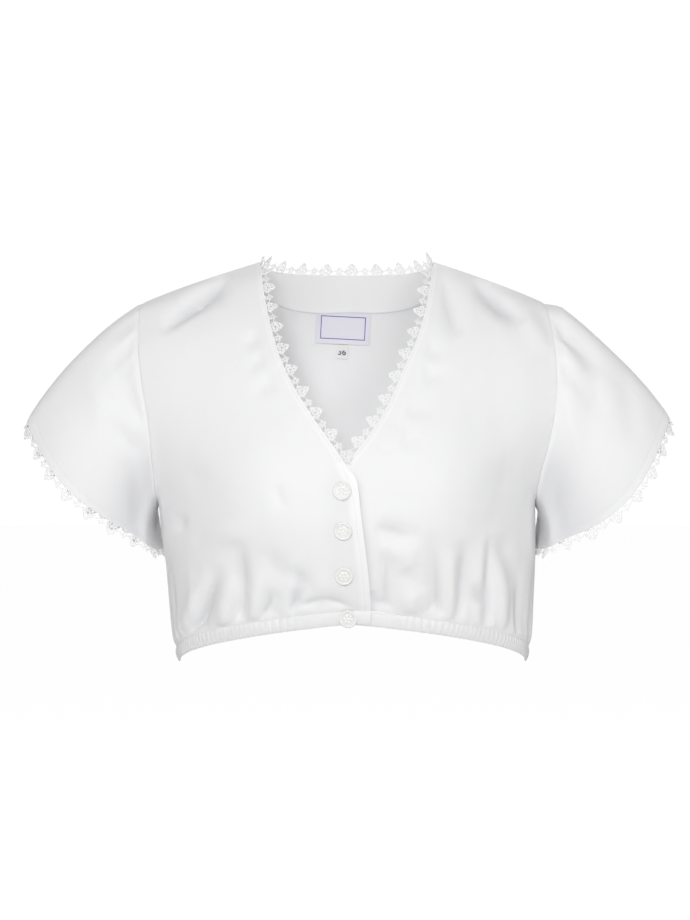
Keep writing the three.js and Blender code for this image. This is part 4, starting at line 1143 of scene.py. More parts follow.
def stitch_tree() -> bpy.types.NodeTree:
    """Builds the tree that lays stitches along a line."""
    inputs = {
        "Geometry": (Socket.GEOMETRY, None),
        "Stitch": (Socket.OBJECT, None),
        "Pitch": (Socket.FLOAT, 0.0028),
        "Seed": (Socket.INTEGER, None),
        "Material": (Socket.MATERIAL, None),
    }
    sheet, enter, leave = start_group("StitchRow", "GeometryNodeTree", inputs, {"Geometry": Socket.GEOMETRY})
    curve = sheet.add("GeometryNodeMeshToCurve", {0: enter["Geometry"]}).outputs[0]
    spaced = sheet.add("GeometryNodeResampleCurve", {"Curve": curve, "Length": enter["Pitch"]}, mode="LENGTH")
    tangent = sheet.add("GeometryNodeInputTangent").outputs[0]
    lengthwise = sheet.add("FunctionNodeAlignRotationToVector", {"Vector": tangent}, axis="X").outputs[0]
    upright = sheet.add(
        "FunctionNodeAlignRotationToVector",
        {"Rotation": lengthwise, "Vector": sheet.path_vector("facing")},
        axis="Z",
        pivot_axis="X",
    ).outputs[0]
    sizes = {"Min": (0.86, 0.85, 0.8), "Max": (1.06, 1.1, 1.1), "Seed": enter["Seed"]}
    uneven = sheet.add("FunctionNodeRandomValue", sizes, data_type="FLOAT_VECTOR").outputs[0]
    whole = sheet.copies(spaced.outputs[0], enter["Stitch"], Rotation=upright, Scale=uneven)
    sheet.dress(whole, enter["Material"], leave)
    return sheet.tree


@dataclass
class MeshParts:
    """Points and faces gathered from several closed shapes."""

    points: list[np.ndarray] = field(default_factory=list)
    faces: list[np.ndarray] = field(default_factory=list)
    count: int = 0

    def add(self, points: np.ndarray, faces: np.ndarray) -> None:
        """Adds a shape whose faces count from its own first point."""
        self.points.append(points)
        self.faces.append(faces + self.count)
        self.count += len(points)

    def thread(self, path: np.ndarray, half_width: float, half_height: float, closed: bool = False) -> None:
        """Adds a flattened thread along a path in the XY plane.

        Args:
            path: The path's points.
            half_width: Half the thread's width in the plane.
            half_height: Half its thickness.
            closed: Whether it is a loop; an open thread narrows at its ends.
        """
        count, sides = len(path), 5
        if closed:
            run = np.roll(path, -1, axis=0) - np.roll(path, 1, axis=0)
        else:
            run = np.gradient(path, axis=0)
        run = unit(run)
        across = np.stack([-run[:, 1], run[:, 0], np.zeros(count)], axis=-1)
        angles = 2 * math.pi * np.arange(sides) / sides + math.pi / 2
        ring = (
            across[:, None, :] * (np.cos(angles) * half_width)[None, :, None]
            + np.array([0.0, 0.0, 1.0]) * (np.sin(angles) * half_height)[None, :, None]
        )
        points = (path[:, None, :] + ring).reshape(-1, 3)
        rows = count if closed else count - 1
        i, j = np.meshgrid(np.arange(rows), np.arange(sides), indexing="ij")
        following, beside = (i + 1) % count, (j + 1) % sides
        quads = np.stack(
            [i * sides + j, i * sides + beside, following * sides + beside, following * sides + j], axis=-1
        ).reshape(-1, 4)
        self.add(points, quads[:, ::-1])
        if not closed:
            start = self.count - len(points)
            base = (count - 1) * sides
            fan = range(1, sides - 1)
            self.faces.append(np.array([[k + 1, k, 0] for k in fan]) + start)
            self.faces.append(np.array([[base + k, base + k + 1, base] for k in fan]) + start)

    def build(self, name: str, material: bpy.types.Material, sharp: float = 60.0) -> bpy.types.Object:
        """Makes the object."""
        faces = [face for group in self.faces for face in group.tolist()]
        return mesh_object(name, np.concatenate(self.points), faces, material, sharp)


@dataclass(frozen=True)
class LaceMotif:
    """One repeat of the corded lace: a small flower, then a pointed cluster of three.

    Attributes:
        repeat: Length of one repeat along the edge.
        small: Centre of the small flower.
        cluster: Centres of the cluster's three flowers, the last at its point.
        cord: Half width of the petals' cord.
        bar: Half width of the bars between the flowers.
    """

    repeat: float = 24.0
    small: tuple[float, float] = (4.4, 4.1)
    cluster: tuple[tuple[float, float], ...] = ((12.6, 3.6), (18.8, 3.6), (16.2, 8.0))
    cord: float = 0.5
    bar: float = 0.42

    def loop(self, centre: tuple[float, float], turn: float, length: float, width: float) -> np.ndarray:
        """Returns a petal-shaped loop that starts at a centre.

        Args:
            centre: Where the petal begins.
            turn: Its direction in radians.
            length: Its length.
            width: Its width.

        Returns:
            The loop's points.
        """
        angles = 2 * math.pi * np.arange(10) / 10
        along_it = length * (0.5 - 0.5 * np.cos(angles))
        beside_it = 0.5 * width * np.sin(angles) * (0.6 + 0.4 * along_it / length)
        x = centre[0] + along_it * math.cos(turn) - beside_it * math.sin(turn)
        y = centre[1] + along_it * math.sin(turn) + beside_it * math.cos(turn)
        return np.stack([x, y, np.zeros_like(x)], axis=-1)

    def flower(self, parts: MeshParts, centre: tuple[float, float], reach: float, turn: float) -> None:
        """Adds an open ring with five looped petals round it.

        Args:
            parts: The motif's parts.
            centre: The flower's centre.
            reach: Length from its centre to a petal's tip.
            turn: Direction of one petal in degrees.
        """
        turns = 2 * math.pi * np.arange(10) / 10
        inner = 0.44 * reach
        ring = np.stack(
            [centre[0] + inner * np.cos(turns), centre[1] + inner * np.sin(turns), np.full(10, 0.12)], axis=-1
        )
        parts.thread(ring, self.cord, 0.34, True)
        for k in range(5):
            angle = math.radians(turn + 72 * k)
            start = (centre[0] + inner * math.cos(angle), centre[1] + inner * math.sin(angle))
            parts.thread(self.loop(start, angle, reach - inner, 0.62 * reach), 0.8 * self.cord, 0.28, True)

    def bars(self, parts: MeshParts, ends: tuple[tuple[float, float, float, float], ...]) -> None:
        """Adds straight bars, each from its first to its last point."""
        for x1, y1, x2, y2 in ends:
            parts.thread(np.linspace((x1, y1, 0.0), (x2, y2, 0.0), 4), self.bar, self.bar)

    def build(self, material: bpy.types.Material) -> bpy.types.Object:
        """Makes the motif flat, with its edge along X and its scallops towards +Y."""
        parts = MeshParts()
        way = np.linspace(0, self.repeat, 17)
        edge = np.stack([way, 0.4 + 0.15 * np.sin(way * math.pi / 3), np.zeros_like(way)], axis=-1)
        parts.thread(edge, 0.42, self.bar)
        self.flower(parts, self.small, 3.1, 90)
        for centre, turn in zip(self.cluster, (126, 54, 90)):
            self.flower(parts, centre, 2.9, turn)
        (left, low), (right, _), (tip, high) = self.cluster
        feet = ((3.4, 0.4, 3.8, 1.8), (5.4, 0.4, 5.0, 1.8))
        feet += ((left - 0.6, 0.4, left, 1.4), (right + 0.6, 0.4, right, 1.4))
        links = ((7.3, 4.4, left - 2.8, low + 0.2), (right + 2.8, low + 0.2, self.repeat + 1.6, 4.4))
        self.bars(parts, (*feet, *links, ((left + right) / 2, 0.4, (left + right) / 2, low)))
        side = np.linspace(0, 1, 7)[:, None]
        bow = np.sin(math.pi * side) * 0.5
        for foot, out in (((left - 2.6, low - 0.6), -1), ((right + 2.6, low - 0.6), 1)):
            line = np.array([foot]) * (1 - side) + np.array([(tip + 0.5 * out, high + 2.6)]) * side
            line = line + bow * np.array([[out, 0.5]])
            parts.thread(np.concatenate([line, np.zeros((7, 1))], axis=1), self.bar, self.bar)
        return parts.build("lace_motif", material)


def stitch_object(material: bpy.types.Material, length: float = 2.0, width: float = 0.42) -> bpy.types.Object:
    """Makes one stitch, a short rounded thread along X that dips at both ends."""
    rings = [(-0.5, 0.25, -0.3), (-0.36, 0.8, 0.02), (0.0, 1.0, 0.12), (0.36, 0.8, 0.02), (0.5, 0.25, -0.3)]
    points = []
    for share, thick, lift in rings:
        for k in range(6):
            angle = math.pi * k / 3
            half = 0.5 * width * thick
            points.append((share * length, half * math.cos(angle), lift + half * math.sin(angle)))
    faces = [*ring_faces(len(rings), 6), tuple(range(6)), tuple(24 + k for k in range(5, -1, -1))]
    return mesh_object("stitch", np.array(points), faces, material)


@dataclass
class Trims:
    """Makes lace and stitches along edges of the cloth."""

    finishes: Finishes
    lace: bpy.types.NodeTree = field(init=False)
    row: bpy.types.NodeTree = field(init=False)
    motif: bpy.types.Object = field(init=False)
    stitch: bpy.types.Object = field(init=False)

    def __post_init__(self) -> None:
        """Builds the trees, the motif and the stitch."""
        self.lace, self.row = lace_tree(), stitch_tree()
        self.motif = LaceMotif().build(self.finishes.lace)
        self.stitch = stitch_object(self.finishes.stitch)

    def lace_along(
        self, name: str, points: np.ndarray, outward: np.ndarray, facing: np.ndarray, depth: float = 1.0
    ) -> bpy.types.Object:
        """Makes a run of lace beside an edge, "depth" times as deep as the motif."""
        path = path_object(name, points, {"outward": unit(outward) * depth, "facing": unit(facing)})
        repeat, lace = LaceMotif.repeat * MM, self.finishes.lace
        values = {"Motif": self.motif, "Repeat": repeat, "Ripple": 0.0005, "Material": lace}
        return grown(path, self.lace, values)

    def stitches(
        self, name: str, points: np.ndarray, facing: np.ndarray, pitch: float = 2.9, seed: int = 1
    ) -> bpy.types.Object:
        """Makes a row of stitches along a line on the cloth's surface."""
        path = path_object(name, points, {"facing": unit(facing)})
        values = {"Stitch": self.stitch, "Pitch": pitch * MM, "Seed": seed, "Material": self.finishes.stitch}
        return grown(path, self.row, values)

    def clear(self) -> None:
        """Removes the motif and the stitch, which aren't pieces themselves."""
        for helper in (self.motif, self.stitch):
            bpy.data.objects.remove(helper)


@dataclass(frozen=True)
class Cut:
    """What a sheet was cut to, in millimetres."""

    width: float
    length: float
    share: float = 1.0


def declare(
    made: bpy.types.Object,
    nodes: tuple[str, ...],
    cut: Cut | None = None,
    held: Held = Held.HUNG,
) -> None:
    """Attaches a finished piece to the root and hides the solids that it replaces.

    Args:
        made: The piece.
        nodes: The nodes that it replaces.
        cut: Its cut, where it is a sheet; not used.
        held: How the sheet is held; not used.
    """
    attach(made, "root")
    if nodes:
        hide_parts(*nodes)
    LOG.info("%s: %d faces", made.name, len(made.data.polygons))


@dataclass
class Bodice:
    """The two fronts, the back and both sleeves, with the seams between them."""

    pattern: Pattern
    gathers: Gathers = field(default_factory=Gathers)
    fronts: dict[Side, Cloth] = field(init=False)
    sleeves: dict[Side, Cloth] = field(init=False)
    back: Cloth = field(init=False)
    places: np.ndarray = field(init=False)

    def __post_init__(self) -> None:
        """Places all cloth and raises its relief."""
        self.places = self.row_places()
        self.fronts = {side: self.make_front(side) for side in Side}
        self.back = self.make_back()
        self.sleeves = {side: self.make_sleeve(side) for side in Side}
        relieve([*self.fronts.values(), self.back, *self.sleeves.values()])

    def row_places(self) -> np.ndarray:
        """Returns the sections at which the rows lie, four to each row of the solids."""
        coarse = [k + j / n for k, n in enumerate(OUTER["rows"]) for j in range(int(n))] + [NECK]
        fine = np.arange((len(coarse) - 1) * ROWS_PER_STEP + 1) / ROWS_PER_STEP
        return np.interp(fine, np.arange(len(coarse)), coarse)

    def eased(self, points: np.ndarray, free: np.ndarray, reach: int = 10, rounds: int = 40) -> np.ndarray:
        """Rounds off the turn that the rows take at the underarm.

        Args:
            points: A panel's points.
            free: How far each column may move, 0 at the seam.
            reach: Rows above and below the underarm that may move.
            rounds: How often each row is moved towards the mean of its neighbours.

        Returns:
            The points.
        """
        away = np.abs(np.arange(len(points)) - self.underarm_row) / reach
        hold = (smoothstep(1 - away, 0, 0.6)[:, None] * free)[..., None]
        for _ in range(rounds):
            mean = points.copy()
            mean[1:-1] = (points[:-2] + points[2:]) / 2
            points = points + (mean - points) * hold * 0.8
        return points

    @property
    def underarm_row(self) -> int:
        """Returns the row at the underarm."""
        return int(np.argmin(np.abs(self.places - UNDERARM)))

    def seam_dip(self, distance: np.ndarray, depth: float = 0.5, reach: float = 2.2) -> np.ndarray:
        """Returns the groove beside a seam at distances from it, in millimetres."""
        return -depth * np.exp(-((distance / reach) ** 2))

    def hem_folds(self, t: np.ndarray, way: np.ndarray, calm: np.ndarray, seed: float) -> np.ndarray:
        """Returns the gathers that run up from the casing.

        Args:
            t: Sections.
            way: Distances along the hem.
            calm: How much of the gathers is left.
            seed: Shifts the wider folds.

        Returns:
            The height of the folds.
        """
        above = np.interp(t, [0, 1, 2, 3, 4], [0, 10, 40, 70, 97])
        fine = (self.gathers.wave(way) - 0.5) * 0.95 * np.exp(-above / 8.0)
        drift = 1.4 * np.sin(way / 31.0 + seed)
        wide = np.sin(2 * math.pi * way / 15.5 + drift) * 0.62 * np.exp(-above / 26.0)
        reach = np.exp(-((above - 18) / 34.0) ** 2)
        wider = np.sin(2 * math.pi * way / 27.0 + 1.3 * drift + seed) * 0.5 * reach
        return calm * (fine + (wide + wider) * smoothstep(above, 0, 7))

    def make_front(self, side: Side) -> Cloth:
        """Makes one front with its relief."""
        u, t = np.meshgrid(np.linspace(0, 1, FRONT_COLUMNS + 1), self.places)
        points = self.eased(self.pattern.front(side, u, t), faded(1 - u, 0.12) * faded(u, 0.05))
        points = points * (side.value, 1, 1)
        cloth = Cloth(f"cloth_front_{side.label}", points, flip=side is Side.RIGHT)
        x, z = points[..., 0], points[..., 2]
        seam = faded(1 - u, 0.1) * faded(NECK - t, 0.35) * faded(t, 1)
        relief = creased("front", x, z)
        full = fullness_height(FULLNESS["front"], x, z)
        swell = 0.75 * undulation(points, 42.0, 3.1 + side.value) + 0.3 * undulation(points, 15.0, 7.7)
        calm = smoothstep(np.abs(x), *CALM)
        way = u * FRONT_HEM
        cloth.heights = seam * (relief + swell) + faded(t, 2) * faded(1 - u, 0.3) * full
        cloth.heights += self.hem_folds(t, way, calm, 1.0 + side.value)
        if side is Side.LEFT:
            cloth.heights -= LAP_STEP * (1 - smoothstep(x, *LAP))
        outer_edge = (1 - u) * PANEL_WIDTH
        cloth.heights += self.seam_dip(outer_edge, 0.55) + self.seam_dip((NECK - t) * SECTION_HEIGHT, 0.4)
        pucker = np.sin(z / 2.6 + 1.5 * np.sin(z / 11.0)) * 0.22 * np.exp(-((outer_edge / 7.0) ** 2))
        cloth.heights += pucker * (t > UNDERARM)
        placket = (1 - smoothstep(u * PANEL_WIDTH, 5.5, 7.0)) * (t < CORNER + 0.5)
        neck_hem = (1 - smoothstep(u * NECK_PANEL_WIDTH, 4.5, 6.0)) * (t >= CORNER + 0.5)
        cloth.layers = np.maximum(placket, 0.5 * neck_hem)
        # Painted shade at the bottom of the front's folds
        cloth.hollows = seam * hollow(relief)
        if side is Side.LEFT:
            # Painted shadow on the left front beside the edge of the right front, which laps over it
            beside = x + along(INNER["rightX"], t)
            cloth.hollows += 0.8 * np.exp(-((beside / 3.5) ** 2)) * (t < CORNER)
        return cloth

    def make_back(self) -> Cloth:
        """Makes the back with its relief."""
        half = int(round(FRONT_COLUMNS / (1 - NECK_SHARE)))
        halves = []
        shares = np.linspace(0, 1, half + 1)
        for side in Side:
            u, t = np.meshgrid(shares, self.places)
            points = self.eased(self.pattern.back(side, u, t), faded(1 - u, 0.12)) * (side.value, 1, 1)
            halves.append(points[:, ::-1] if side is Side.RIGHT else points[:, 1:])
        points = np.concatenate(halves, axis=1)
        u, t = np.meshgrid(np.concatenate([shares[::-1], shares[1:]]), self.places)
        cloth = Cloth("cloth_back", points, flip=True)
        x, z = points[..., 0], points[..., 2]
        seam = faded(1 - u, 0.12) * faded(NECK - t, 1.5) * faded(t, 1)
        relief = creased("back", x, z)
        swell = 0.75 * undulation(points, 44.0, 11.3) + 0.3 * undulation(points, 15.0, 5.9)
        cloth.heights = seam * (relief + swell + fullness_height(FULLNESS["back"], x, z))
        way = (0.5 + 0.5 * u * np.sign(x)) * BACK_HEM
        cloth.heights += self.hem_folds(t, way, np.ones_like(u), 2.7)
        on_shoulder = smoothstep(u, NECK_SHARE - 0.02, NECK_SHARE + 0.02)
        shoulder_dip = on_shoulder * self.seam_dip((NECK - t) * SECTION_HEIGHT, 0.4)
        cloth.heights += self.seam_dip((1 - u) * PANEL_WIDTH, 0.55) + shoulder_dip
        # Painted shade at the bottom of the back's folds
        cloth.hollows = seam * hollow(relief)
        return cloth

    def make_sleeve(self, side: Side) -> Cloth:
        """Makes one sleeve, from the armhole's own points to the cuff."""
        front = self.fronts[side].points[:, -1]
        back = self.back.points[:, 0 if side is Side.RIGHT else -1]
        first = self.underarm_row
        ring = np.concatenate([front[first:][::-1], back[first + 1 : -1]])
        count = len(ring)
        share = np.arange(count) / count
        degrees = np.where(share > 0.5, share * 360 - 360, share * 360)
        w = np.linspace(0, 1, SLEEVE_ROWS + 1)[:, None]
        cuff = self.pattern.cuff(side, share)
        points = ring[None] * (1 - w[..., None]) + cuff[None] * w[..., None]
        cloth = Cloth(f"cloth_sleeve_{side.label}", points, flip=side is Side.RIGHT, closed=True)
        turn = np.radians(degrees)[None]
        mean, top, power = SLEEVE_SWELL
        rounded = (mean + top * np.cos(turn)) * np.sin(math.pi * np.clip(w, 0, 1)) ** power
        tucks = np.zeros_like(rounded)
        for around, depth, width, reach in zip(*TUCKS[side].values()):
            across = np.exp(-(((degrees[None] - around) / width) ** 2))
            tucks += depth * across * np.exp(-((w / reach) ** 2))
        x, z = points[..., 0], points[..., 2]
        facing = smoothstep(np.abs(np.sin(turn)), 0.1, 0.5) * smoothstep(1 - w, 0, 0.12)
        before, behind = (crease_height(CREASES[name], x, z) for name in ("sleeve_front", "sleeve_back"))
        relief = np.where(degrees[None] > 0, before, behind)
        swell = 0.6 * undulation(points, 38.0, 9.1 + side.value) * smoothstep(1 - w, 0, 0.2)
        head = np.maximum(np.cos(turn), 0) ** 0.5
        ripple = np.sin(degrees[None] / 1.9 + np.sin(degrees[None] / 7.0))
        fine = 0.5 * head * ripple * np.exp(-((w / 0.09) ** 2))
        cloth.heights = rounded + smoothstep(w, 0, 0.1) * (RELIEF * (tucks + facing * relief) + swell)
        cloth.heights += fine * smoothstep(w, 0, 0.03) + self.seam_dip(w * SLEEVE_LENGTH, 0.6)
        hem = 1 - smoothstep((1 - w) * SLEEVE_LENGTH, 4.5, 7.5)
        cloth.layers = 0.35 * hem * np.ones_like(rounded)
        folds = tucks + smoothstep(w, 0, 0.1) * RELIEF * facing * relief
        # Painted shade growing towards the underarm, added to the painted shade in the sleeve's folds
        shade = np.exp(-(((np.abs(degrees) - 150) / 35) ** 2))
        cloth.hollows = smoothstep(w, 0, 0.1) * np.clip(hollow(folds) + 0.8 * shade, 0, 1)
        return cloth

    def build(self, finishes: Finishes) -> None:
        """Makes the five pieces."""
        front_cut, sleeve_cut = Cut(235, 345, 0.78), Cut(400, 140, 0.68)
        for side in Side:
            front = wall_object(self.fronts[side], finishes.cotton)
            declare(front, (f"front_{side.label}",), front_cut, Held.HUNG)
            sleeve = wall_object(self.sleeves[side], finishes.cotton)
            beside = (f"cloth_front_{side.label}", "cloth_back")
            declare(sleeve, (f"sleeve_{side.label}",), sleeve_cut, Held.GATHERED)
        back = wall_object(self.back, finishes.cotton)
        declare(back, ("back",), Cut(430, 345, 0.86), Held.HUNG)


@dataclass
class Casing:
    """The elastic hem casing, a flat tube of gathered cloth in three lengths."""

    pattern: Pattern
    gathers: Gathers
    height: float = 12.0
    lean: float = 2.4
    section: tuple[tuple[float, float], ...] = (
        (0.1, 0.3), (0.45, -0.5), (1.15, -1.8), (1.65, -4.0), (1.75, -6.5), (1.6, -9.0), (1.1, -11.2),
        (0.1, -12.0), (-0.75, -11.2), (-1.0, -9.0), (-1.05, -6.0), (-0.95, -3.0), (-0.6, -0.8),
        (-0.35, 0.3),
    )

    def build_length(
        self,
        name: str,
        edge: np.ndarray,
        way: np.ndarray,
        calm: np.ndarray,
        flip: bool,
        material: bpy.types.Material,
    ) -> bpy.types.Object:
        """Makes one length of the casing below a panel's lower edge.

        Args:
            name: The piece's name.
            edge: Points along the panel's lower edge.
            way: Distances along the hem.
            calm: How much of the gathers is left.
            flip: Whether the level normal is turned round.
            material: The cloth.

        Returns:
            The piece.
        """
        run = unit(np.gradient(edge, axis=0))
        normal = unit(np.stack([run[:, 1], -run[:, 0], np.zeros(len(edge))], axis=-1)) * (-1 if flip else 1)
        wave = self.gathers.wave(way) * calm + 0.55 * (1 - calm)
        second = self.gathers.wave(way + 1.6) * calm + 0.5 * (1 - calm)
        rings = []
        for offset, drop in self.section:
            depth = np.clip(-drop / self.height, 0, 1)
            full = math.sin(math.pi * min(depth * 0.9 + 0.05, 1.0))
            if offset > 0:
                height = wave * (1 - depth) + second * depth
                out = offset * (0.3 + height * (0.55 + 0.45 * full))
            else:
                out = offset * (0.75 + 0.35 * wave)
            shift = normal * (out - self.lean * depth)[:, None]
            fall = drop + 0.25 * (wave - 0.5) * (drop < -11)
            rings.append(edge + shift + np.array([0.0, 0.0, 1.0]) * fall[:, None])
        strip = Cloth(name, np.stack(rings, axis=0), flip=not flip)
        find_normals([strip], np.arange(strip.heights.size))
        strip.layers = np.full_like(strip.heights, 0.75)
        # Painted shade in the valleys of the gathers
        strip.hollows = np.broadcast_to(0.5 * (1 - wave) ** 2, strip.heights.shape)
        return wall_object(strip, material, 0.1, 0.25)

    def build(self, material: bpy.types.Material) -> None:
        for side in Side:
            u = np.linspace(0, 1, 281)
            edge = self.pattern.front(side, u, np.zeros_like(u)) * (side.value, 1, 1)
            if side is Side.LEFT:
                run = unit(np.gradient(edge, axis=0))
                inward = np.stack([-run[:, 1], run[:, 0], np.zeros(len(u))], axis=-1)
                edge = edge + inward * (CASING_LAP_STEP * (1 - smoothstep(edge[:, 0], *LAP)))[:, None]
            calm = smoothstep(np.abs(edge[:, 0]), *CALM)
            name, front = f"casing_front_{side.label}", f"cloth_front_{side.label}"
            piece = self.build_length(name, edge, u * FRONT_HEM, calm, side is Side.RIGHT, material)
            declare(piece, (f"hem_{name}",), Cut(225, 26), Held.GATHERED)
        way = np.linspace(-1, 1, 481)
        halves = []
        for side in Side:
            part = np.abs(way[way < 0]) if side is Side.RIGHT else way[way >= 0]
            halves.append(self.pattern.back_arc(side, part, np.zeros_like(part)) * (side.value, 1, 1))
        edge = np.concatenate(halves)
        along_hem = (0.5 + 0.5 * way) * BACK_HEM
        piece = self.build_length("casing_back", edge, along_hem, np.ones_like(way), True, material)
        declare(piece, ("hem_casing_back",), Cut(405, 26), Held.GATHERED)


@dataclass
class Edging:
    """Lace at the neck and the cuffs, and the rows of stitches."""

    bodice: Bodice
    trims: Trims

    def outward(self, points: np.ndarray, inside: np.ndarray) -> np.ndarray:
        """Returns the directions out of the cloth along an edge."""
        run = unit(np.gradient(points, axis=0))
        step = points - inside
        return unit(step - run * np.sum(step * run, axis=1, keepdims=True))

    def smoothed(self, vectors: np.ndarray, rounds: int = 6) -> np.ndarray:
        """Returns vectors evened out along their line."""
        for _ in range(rounds):
            middle = (vectors[:-2] + 2 * vectors[1:-1] + vectors[2:]) / 4
            vectors = np.concatenate([vectors[:1], middle, vectors[-1:]])
        return unit(vectors)

    def run(
        self,
        name: str,
        node: str,
        cloth: Cloth,
        rows: np.ndarray,
        columns: np.ndarray,
        inside: tuple[int, int],
        depth: float = 1.0,
    ) -> None:
        """Makes a run of lace along an edge of a cloth.

        Args:
            name: The piece's name.
            node: The node that it replaces.
            cloth: The cloth.
            rows: The edge's places in rows.
            columns: The edge's places in columns.
            inside: Step in rows and columns to the cloth just inside the edge.
            depth: How deep the lace is, as a share of the motif.
        """
        points, normals = cloth.sample(rows, columns)
        within, _ = cloth.sample(rows + inside[0], columns + inside[1])
        outward, facing = self.smoothed(self.outward(points, within)), self.smoothed(normals)
        made = self.trims.lace_along(name, points - outward * 0.2, outward, facing, depth)
        declare(made, (node,))

    def neck(self) -> None:
        """Makes the lace of the V and of the back neck."""
        last = len(self.bodice.places) - 1
        first = int(np.argmin(np.abs(self.bodice.places - CORNER)))
        for side in Side:
            rows = np.arange(first, last + 1)[::-1].astype(float)
            rows[0] -= 1.8
            rows[-1] += 0.3
            cloth = self.bodice.fronts[side]
            node = f"lace_neck_{side.label}"
            self.run(f"lace_v_{side.label}", node, cloth, rows, np.zeros_like(rows), (0, 2))
        back = self.bodice.back
        half = (back.points.shape[1] - 1) // 2
        reach = int(round(half * NECK_SHARE))
        columns = np.linspace(half - reach + 1.4, half + reach - 1.4, 2 * reach + 1)
        top = np.full_like(columns, last)
        self.run("lace_back_neck", "lace_neck_back", back, top, columns, (-1, 0), 1.15)

    def cuffs(self) -> None:
        """Makes the lace of the cuffs."""
        for side in Side:
            cloth = self.bodice.sleeves[side]
            columns = np.arange(cloth.points.shape[1] + 1).astype(float)
            rows = np.full_like(columns, SLEEVE_ROWS)
            node = f"lace_cuff_{side.label}"
            self.run(f"lace_cuff_edge_{side.label}", node, cloth, rows, columns, (-1, 0))

    def sew(self, name: str, cloth: Cloth, rows: np.ndarray, columns: np.ndarray) -> None:
        """Makes a row of stitches on the outside of a cloth."""
        points, normals = cloth.sample(rows, columns)
        made = self.trims.stitches(name, points + normals * (CLOTH / 2 + 0.3), normals)
        declare(made, ())

    def seams(self) -> None:
        """Makes the visible rows of stitches."""
        bodice = self.bodice
        last = len(bodice.places) - 1
        corner = int(np.argmin(np.abs(bodice.places - CORNER)))
        for side in Side:
            sleeve, front = bodice.sleeves[side], bodice.fronts[side]
            columns = np.arange(sleeve.points.shape[1] + 1).astype(float)
            near_cuff = np.full_like(columns, SLEEVE_ROWS * 0.937)
            self.sew(f"stitches_cuff_{side.label}", sleeve, near_cuff, columns)
            up = np.arange(corner + 2, last).astype(float)
            self.sew(f"stitches_v_{side.label}", front, up, np.full_like(up, 1.6))
        right = bodice.fronts[Side.RIGHT]
        up = np.arange(1, corner + 1).astype(float)
        self.sew("stitches_placket", right, up, np.full_like(up, 2.2))


@dataclass(frozen=True)
class Buttons:
    """Four carved buttons on the right front's edge."""

    radius: float = 7.8
    thickness: float = 2.6
    around: int = 72

    def carving(self, share: np.ndarray, turn: np.ndarray) -> np.ndarray:
        """Returns the carved face's height.

        Args:
            share: Distance from the centre as a share of the radius.
            turn: Angle round the button.

        Returns:
            The height in millimetres.
        """
        rim = 1.1 * np.exp(-(((share - 0.87) / 0.085) ** 2))
        beads = 0.45 * np.exp(-(((share - 0.66) / 0.06) ** 2)) * (0.45 + 0.55 * np.cos(18 * turn))
        petals = 0.85 * np.exp(-(((share - 0.36) / 0.14) ** 2)) * (0.5 + 0.5 * np.cos(6 * turn)) ** 0.7
        veins = -0.25 * np.exp(-(((share - 0.38) / 0.1) ** 2)) * (0.5 + 0.5 * np.cos(6 * turn)) ** 8
        heart = 0.7 * np.exp(-((share / 0.13) ** 2))
        return 1.45 + rim + beads + petals + veins + heart

    def build_one(
        self, name: str, place: np.ndarray, normal: np.ndarray, spin: float, material: bpy.types.Material
    ) -> bpy.types.Object:
        """Makes one button.

        Args:
            name: The piece's name.
            place: Centre of its back.
            normal: Its direction.
            spin: How far it is turned in its own plane.
            material: Its material.

        Returns:
            The piece.
        """
        shares = np.concatenate([np.linspace(0.04, 0.95, 24), [0.985, 1.0, 1.0, 0.985, 0.93, 0.5]])
        turns = 2 * math.pi * np.arange(self.around) / self.around
        share, turn = np.meshgrid(shares, turns, indexing="ij")
        height = self.carving(share, turn)
        flanks = np.array([1.7, 1.3, 0.5, 0.2, 0.0, 0.0])
        height[24:] = flanks[:, None]
        x, y = (self.radius * share * f(turn) for f in (np.cos, np.sin))
        points = np.stack([x, y, height], axis=-1).reshape(-1, 3)
        points = np.concatenate([points, [[0, 0, self.carving(np.zeros(1), np.zeros(1))[0]], [0, 0, 0]]])
        # How high each point of the carving lies, which the pearl finish turns into painted shade
        carved = np.clip((points[:, 2] - 1.35) / 0.9, 0, 1)
        rows, n = len(shares), self.around
        faces = ring_faces(rows, n)
        top, bottom = rows * n, rows * n + 1
        for k in range(n):
            following = (k + 1) % n
            faces.append((top, k, following))
            faces.append((bottom, (rows - 1) * n + following, (rows - 1) * n + k))
        turned = Vector((0, 0, 1)).rotation_difference(Vector(normal)).to_matrix()
        turned = turned @ Euler((0, 0, spin)).to_matrix()
        points = points @ np.array(turned).T + place
        made = mesh_object(name, points, faces, material)
        add_values(made, "carved", carved)
        return made

    def build(self, bodice: Bodice, material: bpy.types.Material) -> None:
        """Makes the four buttons where the solids have them."""
        front = bodice.fronts[Side.RIGHT]
        flat, normals = front.points.reshape(-1, 3), front.normals.reshape(-1, 3)
        for k, (x, z) in enumerate(BUTTON_PLACES):
            low, high = (np.array(corner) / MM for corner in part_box(f"button_{k + 1}"))
            nearest = int(np.argmin(np.hypot(flat[:, 0] - x, flat[:, 2] - z)))
            normal = normals[nearest] if k < 3 else unit(np.array([0.0, -1.0, -0.2]))
            centre = (low + high) / 2 - normal * self.thickness / 2
            piece = self.build_one(f"carved_button_{k + 1}", centre, normal, 0.4 + 1.9 * k, material)
            declare(piece, (f"button_{k + 1}",))


